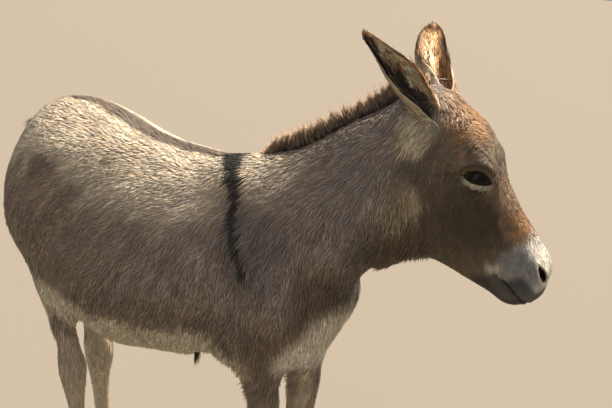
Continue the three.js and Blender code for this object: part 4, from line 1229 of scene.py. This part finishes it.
def hair_thickness(points):
    """Locks per square metre."""
    spot = from_withers(points)
    folded, _ = mirrored_head(points)
    head, ear, legs = head_share(points), ear_share(points), leg_share(points)
    thick = BODY_LOCKS - LEG_LOSS * legs
    face = FACE_LOCKS + MUZZLE_GAIN * ease(120, 250, folded[:, 0])
    thick = thick * (1 - head) + face * head
    thick = thick * (1 - ear) + EAR_LOCKS * ear
    _, _, outwards, rim = almond(folded)
    at_eye = (outwards > 0) & (np.linalg.norm(folded - EYE_AT, axis=1) < 50)
    away = (rim - 1) * LID_DOWN
    bare = at_eye * ease(2.4, 1.0, away)
    hole = (np.linalg.norm(folded - NOSTRIL_AT, axis=1) < 32) * ease(1.25, 1.05, nostril(folded)[3])
    lips = ease(2.2, 1.2, mouth_gap(folded)) * ease(326, 334, folded[:, 0])
    hoofed = ease(42, 36, spot[:, 2])
    return thick * (1 - bare) * (1 - hole) * (1 - lips) * (1 - hoofed)


add_layer(joined, "hairs", "FLOAT", hair_thickness(mesh_corners(joined)))
roots = run_tree(skin, roots_tree, {"Seed": 11})
root_at = mesh_corners(roots)
root_out = unit(read_layer(roots, "outward").astype(float))
root_uv = read_layer(roots, "OFBake")
root_streak = read_layer(roots, "streak")[:, 0]
print("roots", len(root_at), "attributes", [a.name for a in roots.attributes])

# %% [markdown]
# ## Length, lift and clumps
# Hair is longest on the body and under the jaw, shorter on the cheeks and the legs, and
# shortest on the muzzle. Wet or dusty hair gathers in clumps, so each root leans towards the
# end of the nearest clump and shares its shade of light or dark. That is what breaks the coat
# into streaks.

# %% Shape each lock
def hair_size(points, normals):
    """Length, width and lift of the locks, in mm."""
    spot = from_withers(points)
    folded, _ = mirrored_head(points)
    down, _, out = folded.T
    head, ear = head_share(points), ear_share(points)
    low = ease(640, 470, spot[:, 2])
    length = 25 + 7 * low + 4 * ease(100, 250, spot[:, 0]) * ease(820, 700, spot[:, 2])
    leg = 9 + 13 * ease(250, 420, spot[:, 2]) + 5 * ease(110, 70, spot[:, 2])
    legs = leg_share(points)
    length = length * (1 - legs) + leg * legs
    cheek = ease(-20, -80, out) * ease(210, 120, down)
    face = 9.5 + 10 * ease(110, 30, down) + 9 * cheek - 4.5 * ease(270, 320, down)
    fluffy = ball_mask(folded, (95, 20, 25), 62)
    face = face + 2 * fluffy
    length = length * (1 - head) + face * head
    wool = ball_mask(folded, (25, 48, -64), 48, 0.4)
    length = length + (24 - length) * wool * head
    fringe = head * ease(-118, -150, out) * ease(270, 220, down)
    length = length + (29 - length) * fringe
    place, hollow = ear_place(points), ear_hollow(points, normals)
    fur = 8 + 5 * ease(0.4, 0.0, place[:, 0])
    fur = fur + (24 - fur) * hollow
    fur = fur - (fur - 5.5) * ease(0.62, 0.94, place[:, 0])
    length = length * (1 - ear) + fur * ear
    lift = (0.12 + 0.08 * hollow + 0.12 * wool + 0.2 * fringe) * length * (1 - 0.2 * legs)
    lift = lift * (1 - 0.25 * head * (1 - ear) * (1 - fringe)) * (1 - 0.35 * ease(230, 300, down) * head)
    width = (0.6 + 0.047 * length) * (1 - 0.25 * head * (1 - ear))
    return length, width, lift


def clumped(points, ways, length, spacing, pull, seed):
    """Directions leaning to the nearest clump's end, and a shade from -1 to 1 for each clump."""
    chance = np.random.default_rng(seed)
    keep = chance.random(len(points)) < 1 / spacing
    centres = points[keep]
    nearest = np.array(nearest_in(centres)(points + ways * (length * 0.0006)[:, None]))
    shade = chance.normal(size=len(centres))[nearest]
    target = centres[nearest] + ways * (length * 0.0012)[:, None]
    return unit(ways * (1 - pull) + unit(target - points) * pull), np.clip(shade, -2, 2)


SWIRL_SIZE, SWIRL = 90, 0.28  # mm across one swirl, and how far it turns the hair
CLUMP_OF, CLUMP_PULL = 38, 0.5  # locks in a clump, and how far they lean to its end
chance = np.random.default_rng(5)
length, width, lift = hair_size(root_at, root_out)
ways = lie_of_hair(root_at, root_out)
swirl = waves(root_at * 1000, SWIRL_SIZE, 21) * SWIRL
sideways = np.cross(root_out, ways)
ways = unit(ways + sideways * swirl[:, None])
ways, shade = clumped(root_at, ways, length, CLUMP_OF, CLUMP_PULL, 8)
stray = 0.10 + 0.06 * head_share(root_at) * (1 - ear_share(root_at))
ways = flattened(ways + stray[:, None] * chance.normal(size=ways.shape), root_out)
length = length * np.exp(0.16 * chance.normal(size=len(length)))
width = width * np.exp(0.18 * chance.normal(size=len(width)))
lift = lift * np.clip(1 + 0.3 * chance.normal(size=len(lift)), 0.35, 1.7)
colours = markings(root_at, root_out)
on_head = head_share(root_at)
in_ear = ear_hollow(root_at, root_out)
tone = np.exp((0.10 + 0.22 * in_ear) * shade + (0.15 + 0.07 * on_head) * root_streak
              + (0.12 + 0.10 * on_head + 0.16 * in_ear) * chance.normal(size=len(shade)))
warm = 1 + 0.05 * chance.normal(size=len(shade))[:, None] * np.array([1.0, 0.0, -1.2])
colours = np.clip(colours * tone[:, None] * warm, 0, 1)
print("longest lock", round(float(length.max()), 1), "mm")


def euler_turns(ways, normals):
    """XYZ Euler angles that turn x to the hair's way and z to the skin's normal."""
    side = np.cross(normals, ways)
    return np.stack([
        np.arctan2(side[:, 2], normals[:, 2]),
        -np.arcsin(np.clip(ways[:, 2], -1, 1)),
        np.arctan2(ways[:, 1], ways[:, 0]),
    ], axis=1)


def grow(name, lock, hair, points, normals, ways, sizes, colours, uvs, lit=None):
    """One piece of coat: a lock on every root, as a plain mesh that rides on the body."""
    seeds = mesh_object(name + "_roots", points, [])
    add_layer(seeds.data, "turn", "FLOAT_VECTOR", euler_turns(ways, normals))
    add_layer(seeds.data, "size", "FLOAT_VECTOR", sizes / 1000)
    add_layer(seeds.data, "outward", "FLOAT_VECTOR", normals if lit is None else lit)
    add_layer(seeds.data, "root_uv", "FLOAT_VECTOR", np.c_[uvs, np.zeros(len(uvs))])
    add_layer(seeds.data, "marking", "FLOAT_COLOR", opaque(colours))
    made = run_tree(seeds, locks_tree, {"Lock": lock, "Patch": PATCH, "Hair": hair})
    bpy.data.objects.remove(seeds)
    for spare in ("turn", "size", "root_uv", "patch"):
        if spare in made.attributes:
            made.attributes.remove(made.attributes[spare])
    made.uv_layers.active = made.uv_layers["OFBake"]
    piece = new_object(name, made)
    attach(piece, "root")
    print(name, len(points), "locks", sum(len(p.vertices) - 2 for p in made.polygons), "triangles")
    return piece


# %% [markdown]
# ## Hide and hair
# The hide under the coat is matt and finely grained. Hair is darker at its root, where other
# hair shades it, and paler at its worn tip. Both take their colour from the same markings,
# stored on the skin and on every lock, so the pattern runs on from one to the other.

# %% Materials of the coat
def stored(tree, name, output):
    """What the mesh carries under a name, for use in a material."""
    return add(tree, "ShaderNodeAttribute", {"attribute_name": name}).outputs[output]


def shaded(tree, colour, shade):
    """A colour made darker or lighter by the result of a node."""
    scaled = add(tree, "ShaderNodeVectorMath", {"operation": "SCALE"}, i0=colour,
                 Scale=shade.outputs["Result"])
    return scaled.outputs["Vector"]


def hide_material():
    material, tree = new_material("short_hide")  # skin under the coat: matt, finely grained
    colour = stored(tree, "marking", "Color")
    place = add(tree, "ShaderNodeTexCoord").outputs["Object"]
    grain = add(tree, "ShaderNodeTexNoise", Vector=place, Scale=420.0, Detail=3.0)
    shade = add(tree, "ShaderNodeMapRange", Value=grain.outputs["Fac"], To_Min=0.66, To_Max=0.98)
    relief = add(tree, "ShaderNodeBump", Height=grain.outputs["Fac"], Strength=0.35, Distance=0.0008)
    skin_shader = add(tree, "ShaderNodeBsdfPrincipled", Base_Color=shaded(tree, colour, shade),
                      Roughness=0.72, Normal=relief.outputs["Normal"])
    add(tree, "ShaderNodeOutputMaterial", Surface=skin_shader.outputs["BSDF"])
    return material


SOFTNESS = 0.85  # how far a hair is lit like the skin under it


def hair_material(name, root_shade, tip_shade, root_colour=None, change=(0.0, 1.0), rough=0.56):
    """Hair whose colour runs from root to tip; a root colour of its own makes two-toned hair."""
    material, tree = new_material(name)  # dry hair: a low sheen and no hard shine
    colour, grown = stored(tree, "marking", "Color"), stored(tree, "grown", "Fac")
    if root_colour:
        place = add(tree, "ShaderNodeTexCoord").outputs["Object"]
        ragged = add(tree, "ShaderNodeTexNoise", Vector=place, Scale=75.0, Detail=2.0)
        shifted = add(tree, "ShaderNodeMath", {"operation": "ADD"}, i0=grown, i1=ragged.outputs["Fac"])
        part = add(tree, "ShaderNodeMapRange", {"interpolation_type": "SMOOTHSTEP"},
                   Value=shifted.outputs["Value"], From_Min=change[0] + 0.5, From_Max=change[1] + 0.5)
        mix = add(tree, "ShaderNodeMix", {"data_type": "RGBA"}, Factor=part.outputs["Result"])
        mix.inputs[6].default_value = linear(root_colour)
        tree.links.new(colour, mix.inputs[7])
        colour = mix.outputs[2]
    shade = add(tree, "ShaderNodeMapRange", Value=grown, To_Min=root_shade, To_Max=tip_shade)
    facet = add(tree, "ShaderNodeNewGeometry").outputs["Normal"]
    outward = stored(tree, "outward", "Vector")
    softened = add(tree, "ShaderNodeMix", {"data_type": "VECTOR"}, Factor=SOFTNESS)
    tree.links.new(facet, softened.inputs[4])
    tree.links.new(outward, softened.inputs[5])
    strand = add(tree, "ShaderNodeBsdfPrincipled", Base_Color=shaded(tree, colour, shade),
                 Roughness=rough, Normal=softened.outputs[1])
    strand.inputs["Sheen Weight"].default_value = 0.12
    strand.inputs["Sheen Roughness"].default_value = 0.5
    add(tree, "ShaderNodeOutputMaterial", Surface=strand.outputs["BSDF"])
    return material


hide = hide_material()
hair = hair_material("coat_hair", 0.72, 1.15)
mane_mix = hair_material("mane_hair", 1.0, 1.0, "#261A13", (0.25, 0.85), rough=0.6)
joined.materials.clear()
joined.materials.append(hide)
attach(skin, "root")
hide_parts(*FLESH, *EARS)

# %% Grow the coat
MOST_LOCKS = 19000  # in one piece, at ten triangles each


def coat_regions(points):
    """Names each root's region of the coat."""
    spot = from_withers(points)
    region = np.where(spot[:, 0] < -330, "rump", np.where(spot[:, 0] < -40, "barrel", "shoulder"))
    region = region.astype("<U12")
    region[leg_share(points) > 0.5] = "legs"
    region[tail_share(points) > 0.5] = "tail"
    neck = (spot[:, 0] - 60) * 0.55 + (spot[:, 2] - 700) * 0.45 > 40
    region[neck & (head_share(points) <= 0.5)] = "neck"
    region[head_share(points) > 0.5] = "head"
    region[ear_share(points) > 0.5] = "ears"
    return region


region = coat_regions(root_at)
sizes = np.stack([length, width, lift], axis=1)
for name in np.unique(region):
    members = np.flatnonzero(region == name)
    parts = math.ceil(len(members) / MOST_LOCKS)
    for number, some in enumerate(np.array_split(members, parts), 1):
        piece = grow(f"coat_{name}_{number}", coat_lock, hair, root_at[some], root_out[some], ways[some],
                     sizes[some], colours[some], root_uv[some])

# %% [markdown]
# ## Mane
# A donkey's mane is short and stands up like a brush along the crest of the neck, without a
# parting. It breaks into pointed clumps, almost black at the base and worn to tan at the tips.
# The crest is found by dropping rays on the skin, and each clump pulls its hairs together.

# %% Grow the mane
MANE_LINE = np.array([(26, -2), (66, 2), (120, 8), (180, 22), (240, 42), (300, 62), (340, 79)], float)
MANE_WIDE = 9.0  # half the width of the rooted strip
MANE_LOCKS, MANE_CLUMPS, CREST_STEPS = 6400, 46, 200


ABOVE_CREST = 1300  # mm over the ground, where the plumb lines start


def spots_on_skin(columns, start=ABOVE_CREST, way=-1):
    """Where plumb lines through (x, y) in mm from the withers first meet the skin."""
    found = []
    for x, y in columns:
        hit, _, _, _ = skin_tree.ray_cast(Vector(at([x, y, start])), Vector((0, 0, way)))
        found.append(hit[:])
    return np.array(found)


nearest_root = nearest_in(root_at)


def uv_near(points):
    """The unwrap's place of the root nearest to each point."""
    return root_uv[nearest_root(points)]


def along_line(line, t):
    """Places at shares t along a line of evenly spaced points."""
    knots = np.linspace(0, 1, len(line))
    return np.stack([np.interp(t, knots, column) for column in line.T], axis=1)


def grow_mane():
    chance = np.random.default_rng(31)
    crest = spots_on_skin(along_line(MANE_LINE, np.linspace(0, 1, CREST_STEPS)))
    for _ in range(6):
        crest[1:-1] = (crest[:-2] + crest[1:-1] * 2 + crest[2:]) / 4
    where = chance.random(MANE_LOCKS)
    along = unit(np.gradient(crest, axis=0))
    across = unit(np.cross([0, 0, 1], along))
    upright = np.cross(along, across)
    base, along, across, upright = (along_line(line, where) for line in (crest, along, across, upright))
    off = chance.uniform(-1, 1, MANE_LOCKS)
    root = base + across * (off * MANE_WIDE / 1000)[:, None] - upright * (0.002 + 0.004 * off**2)[:, None]
    tall = 8 + 33 * ease(0, 0.24, where) - 16 * ease(0.85, 1, where) - 7 * off**2
    clump = (np.arange(MANE_CLUMPS) + 0.5 + chance.uniform(-0.34, 0.34, MANE_CLUMPS)) / MANE_CLUMPS
    nearest = clump[np.abs(where[:, None] - clump).argmin(axis=1)]
    tall = tall * (1 + 0.10 * np.sin(nearest * 997)) * np.exp(0.10 * chance.normal(size=MANE_LOCKS))
    tall = tall * (1 - 0.22 * np.minimum(np.abs(where - nearest) / 0.011, 1))
    reach = np.linalg.norm(np.diff(crest, axis=0), axis=1).sum() * 1000
    lean = (nearest - where) * reach * 0.5 / tall
    way = unit(upright + along * (lean + 0.10 + 0.07 * chance.normal(size=MANE_LOCKS))[:, None]
               - across * (off * 0.12 + 0.05 * chance.normal(size=MANE_LOCKS))[:, None])
    facing = np.cross(along, way) * np.where(off > 0, 1, -1)[:, None]
    facing = flattened(unit(facing + 0.4 * chance.normal(size=way.shape)), way)
    wide = 1.9 * np.exp(0.2 * chance.normal(size=MANE_LOCKS))
    tip = np.array(linear("#8C735A")[:3]) * np.exp(0.22 * chance.normal(size=MANE_LOCKS))[:, None]
    size = np.stack([tall, wide, np.full(MANE_LOCKS, 3.0)], axis=1)
    lit = unit(upright + across * (off * 0.8)[:, None])
    return grow("mane_locks", stiff_lock, mane_mix, root, facing, way, size, tip, uv_near(root), lit)


stiff_lock = make_lock("stiff_lock", [(0, 0.5, -0.15, 0.3), (0.55, 0.42, 0.0, 0.25), (1, 0, 0.25, 0)])
mane = grow_mane()
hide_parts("mane")

# %% [markdown]
# ## Tail tassel
# The lower half of the tail carries a tassel of long coarse hair. Each lock is rooted on the
# tail's core, leaves it at a slight angle and hangs beside the others to a ragged point.

# %% Grow the tassel
TASSEL_LOCKS = 3600
TASSEL_TOP, TASSEL_END = 0.52, 0.93  # shares of the tail's length that carry long hair


def grow_tassel():
    chance = np.random.default_rng(47)
    t = TASSEL_TOP + (TASSEL_END - TASSEL_TOP) * chance.random(TASSEL_LOCKS) ** 1.3
    base = along_line(tail_line, t)
    along = unit(along_line(tail_line, np.minimum(t + 0.05, 1)) - along_line(tail_line, t - 0.02))
    angle = chance.uniform(0, 2 * math.pi, TASSEL_LOCKS)
    side = unit(np.cross(along, [0.0, 1.0, 0.0]))
    outward = side * np.cos(angle)[:, None] + np.cross(along, side) * np.sin(angle)[:, None]
    core = np.interp(t, [TASSEL_TOP, 0.62, TASSEL_END], [10, 8, 2.5])
    left = np.linalg.norm(tail_line[-1] - base, axis=1)
    long = np.minimum(chance.uniform(70, 130, TASSEL_LOCKS), left + 6)
    spread = 0.13 * ease(0.95, 0.55, t) + 0.02
    way = unit(along + outward * (spread * chance.uniform(0.5, 1.1, TASSEL_LOCKS))[:, None]
               + 0.03 * chance.normal(size=along.shape))
    facing = flattened(outward, way)
    size = np.stack([long, 2.6 * np.exp(0.2 * chance.normal(size=TASSEL_LOCKS)), 0.06 * long], axis=1)
    tone = np.exp(0.25 * chance.normal(size=TASSEL_LOCKS))[:, None]
    tint = np.array(linear("#4A372B")[:3]) * tone
    root = at(base) + outward * (core / 1000)[:, None]
    return grow("tassel_locks", stiff_lock, hair, root, facing, way, size, tint, uv_near(root))


tassel = grow_tassel()
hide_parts("tail_tassel")

# %% [markdown]
# ## The tuft under the belly
# A few coarse hairs hang straight down under the belly. They are rooted where plumb lines
# from below meet the skin.

# %% Grow the belly tuft
TUFT_AT, TUFT_SPREAD, TUFT_LOCKS = (-148.0, 0.0), (2.6, 2.0), 30
BELOW_BELLY = 150  # mm over the ground, where the plumb lines start


def grow_belly_tuft():
    chance = np.random.default_rng(53)
    columns = np.array(TUFT_AT) + chance.normal(size=(TUFT_LOCKS, 2)) * TUFT_SPREAD
    root = spots_on_skin(columns, BELOW_BELLY, 1)
    way = unit(np.array([-0.1, 0.0, -1.0]) + 0.06 * chance.normal(size=(TUFT_LOCKS, 3)))
    facing = unit(np.cross(way, [0.0, 1.0, 0.0]))
    long = chance.uniform(28, 42, TUFT_LOCKS)
    size = np.stack([long, np.full(TUFT_LOCKS, 2.0), np.full(TUFT_LOCKS, 1.6)], axis=1)
    tint = np.array(linear("#5A4733")[:3]) * np.exp(0.2 * chance.normal(size=TUFT_LOCKS))[:, None]
    return grow("belly_tuft", stiff_lock, hair, root, facing, way, size, tint, uv_near(root))


grow_belly_tuft()

# %% [markdown]
# ## Eyes
# The eye is a smooth wet ball as large as the real one and set as deep. Its pupil is a wide oval
# lying level with the ground, the iris round it is so dark a brown that it nearly fills the
# lids, and the white shows only as a dull brown edge. A stored direction on the ball drives
# the pattern, so the same material serves both eyes.

# %% Make the eyes
PUPIL_LONG, PUPIL_TALL = 0.42, 0.2  # shares of the ball's radius


def eye_material():
    material, tree = new_material("wet_eye")  # smooth, with a thin clear wet layer
    gaze = stored(tree, "gaze", "Vector")
    stretched = add(tree, "ShaderNodeVectorMath", {"operation": "MULTIPLY"}, i0=gaze,
                    i1=(0, 1 / PUPIL_LONG, 1 / PUPIL_TALL))
    oval = add(tree, "ShaderNodeVectorMath", {"operation": "LENGTH"}, i0=stretched.outputs["Vector"])
    flat = add(tree, "ShaderNodeVectorMath", {"operation": "MULTIPLY"}, i0=gaze, i1=(0, 1, 1))
    radius = add(tree, "ShaderNodeVectorMath", {"operation": "LENGTH"}, i0=flat.outputs["Vector"])
    iris = ramp(tree, radius.outputs["Value"], [
        (0.0, "#120A06"), (0.5, "#1B100A"), (0.66, "#080504"), (0.74, "#100C0A"), (0.92, "#40342B")])
    in_pupil = add(tree, "ShaderNodeMapRange", Value=oval.outputs["Value"], From_Min=0.9, From_Max=1.08)
    mix = add(tree, "ShaderNodeMix", {"data_type": "RGBA"}, Factor=in_pupil.outputs["Result"])
    mix.inputs[6].default_value = linear("#030303")
    tree.links.new(iris, mix.inputs[7])
    ball = add(tree, "ShaderNodeBsdfPrincipled", Base_Color=mix.outputs[2], Roughness=0.15)
    ball.inputs["Specular IOR Level"].default_value = 0.1
    ball.inputs["Coat Weight"].default_value = 0.14
    ball.inputs["Coat Roughness"].default_value = 0.03
    add(tree, "ShaderNodeOutputMaterial", Surface=ball.outputs["BSDF"])
    return material


CORNEA = 1.1  # mm that the clear front stands proud of the ball
wet_eye = eye_material()


def make_eye(name, side):
    work = bmesh.new()
    bmesh.ops.create_uvsphere(work, u_segments=72, v_segments=48, radius=1)
    ball, faces = shape_of(work)
    faces.sort()  # the sphere gives its faces in no fixed order
    mirror = np.array([1, side, 1])
    out = unit(np.array([0.12, 1.0, 0.22])) * mirror
    level = unit(np.cross([0, 0, 1], out @ HEAD_AXES)) @ HEAD_AXES.T
    axes = np.stack([out, level, np.cross(out, level)])
    front = ease(0.55, 0.95, ball[:, 2])
    local = np.c_[ball[:, 2], ball[:, 0], ball[:, 1]]
    place = (EYE_AT * mirror) + (local * (EYE_RADIUS + CORNEA * front)[:, None]) @ axes
    eye = mesh_object(name, from_head(place), faces)
    eye.data.shade_smooth()
    add_layer(eye.data, "gaze", "FLOAT_VECTOR", local)
    eye.data.materials.append(wet_eye)
    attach(eye, "root")
    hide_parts(name.replace("ball_", ""))
    return eye


for name, side in (("eye_ball_right", -1), ("eye_ball_left", 1)):
    make_eye(name, side)

# %% [markdown]
# ## Hooves
# A donkey's hoof is small, narrow and upright, rounded in front and cut off behind. It grows
# down from the coronet, and each season leaves a faint ring. The foot stands flat.

# %% Make the hooves
def horn_material():
    material, tree = new_material("hoof_horn")  # worn horn with faint rings
    place = add(tree, "ShaderNodeTexCoord").outputs["Object"]
    split = add(tree, "ShaderNodeSeparateXYZ", Vector=place)
    wander = add(tree, "ShaderNodeTexNoise", Vector=place, Scale=30.0, Detail=2.0)
    height = add(tree, "ShaderNodeMath", {"operation": "MULTIPLY_ADD"}, i0=wander.outputs["Fac"], i1=0.006,
                 i2=split.outputs["Z"])
    grown = add(tree, "ShaderNodeMath", {"operation": "MULTIPLY"}, i0=height.outputs["Value"], i1=900.0)
    rings = add(tree, "ShaderNodeMath", {"operation": "SINE"}, i0=grown.outputs["Value"])
    colour = ramp(tree, wander.outputs["Fac"], [(0.3, "#2B2622"), (0.55, "#4A423A"), (0.75, "#6A5F52")])
    relief = add(tree, "ShaderNodeBump", Height=rings.outputs["Value"], Strength=0.4, Distance=0.0004)
    horn = add(tree, "ShaderNodeBsdfPrincipled", Base_Color=colour, Roughness=0.5,
               Normal=relief.outputs["Normal"])
    add(tree, "ShaderNodeOutputMaterial", Surface=horn.outputs["BSDF"])
    return material


HOOF_ROWS = np.array([  # height, forward shift, half depth, half width, all in mm
    (0.0, 7.0, 33.2, 27.0), (0.8, 7.0, 34.0, 27.8), (5, 6.6, 34.4, 28.2), (15, 5.2, 32.8, 27.2),
    (26, 3.0, 31.0, 26.0), (34, 1.0, 29.4, 25.0), (39, -0.4, 27.6, 23.4), (44, -2.2, 24.0, 20.0),
])
HOOF_SIDES = 56
HOOF_TOE = 41  # mm from the hoof's middle to its toe
CORONET_RISE = 0.24  # how much higher the horn reaches in front than behind
horn = horn_material()


def make_hoof(name):
    low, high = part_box(name)
    middle_x, middle_y = high.x * 1000 - HOOF_TOE, (low.y + high.y) * 500
    angle = np.arange(HOOF_SIDES) * 2 * math.pi / HOOF_SIDES
    heel = ease(-0.15, -0.75, np.cos(angle))
    cleft = 0.09 * np.exp(-((angle - math.pi) / 0.22) ** 2)
    points = []
    for z, ahead, deep, wide in HOOF_ROWS:
        x = middle_x + ahead + deep * np.cos(angle) * (1 - 0.17 * heel - cleft)
        y = middle_y + wide * np.sin(angle) * (1 + 0.03 * heel)
        rise = CORONET_RISE * (x - middle_x) * min(z / 30, 1)
        points.append(np.c_[x, y, np.full(HOOF_SIDES, z) + rise])
    points = np.concatenate(points) / 1000
    rows, sides = len(HOOF_ROWS), HOOF_SIDES
    faces = [
        (r * sides + i, r * sides + (i + 1) % sides, (r + 1) * sides + (i + 1) % sides, (r + 1) * sides + i)
        for r in range(rows - 1) for i in range(sides)
    ]
    sole, crown = len(points), len(points) + 1
    ends = [points[:sides].mean(axis=0), points[-sides:].mean(axis=0)]
    points = np.concatenate([points, ends])
    faces += [(sole, (i + 1) % sides, i) for i in range(sides)]
    top = (rows - 1) * sides
    faces += [(crown, top + i, top + (i + 1) % sides) for i in range(sides)]
    hoof = mesh_object("horn_" + name, points, faces)
    hoof.data.shade_smooth()
    hoof.data.materials.append(horn)
    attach(hoof, "root")
    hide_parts(name)


for foot in ("fore_right", "fore_left", "hind_right", "hind_left"):
    make_hoof("hoof_" + foot)

# %% [markdown]
# ## Finish
# The patterns of the locks are no part of the donkey, so they go.

# %% Clear up and finish
for pattern in (coat_lock, stiff_lock):
    bpy.data.objects.remove(pattern)
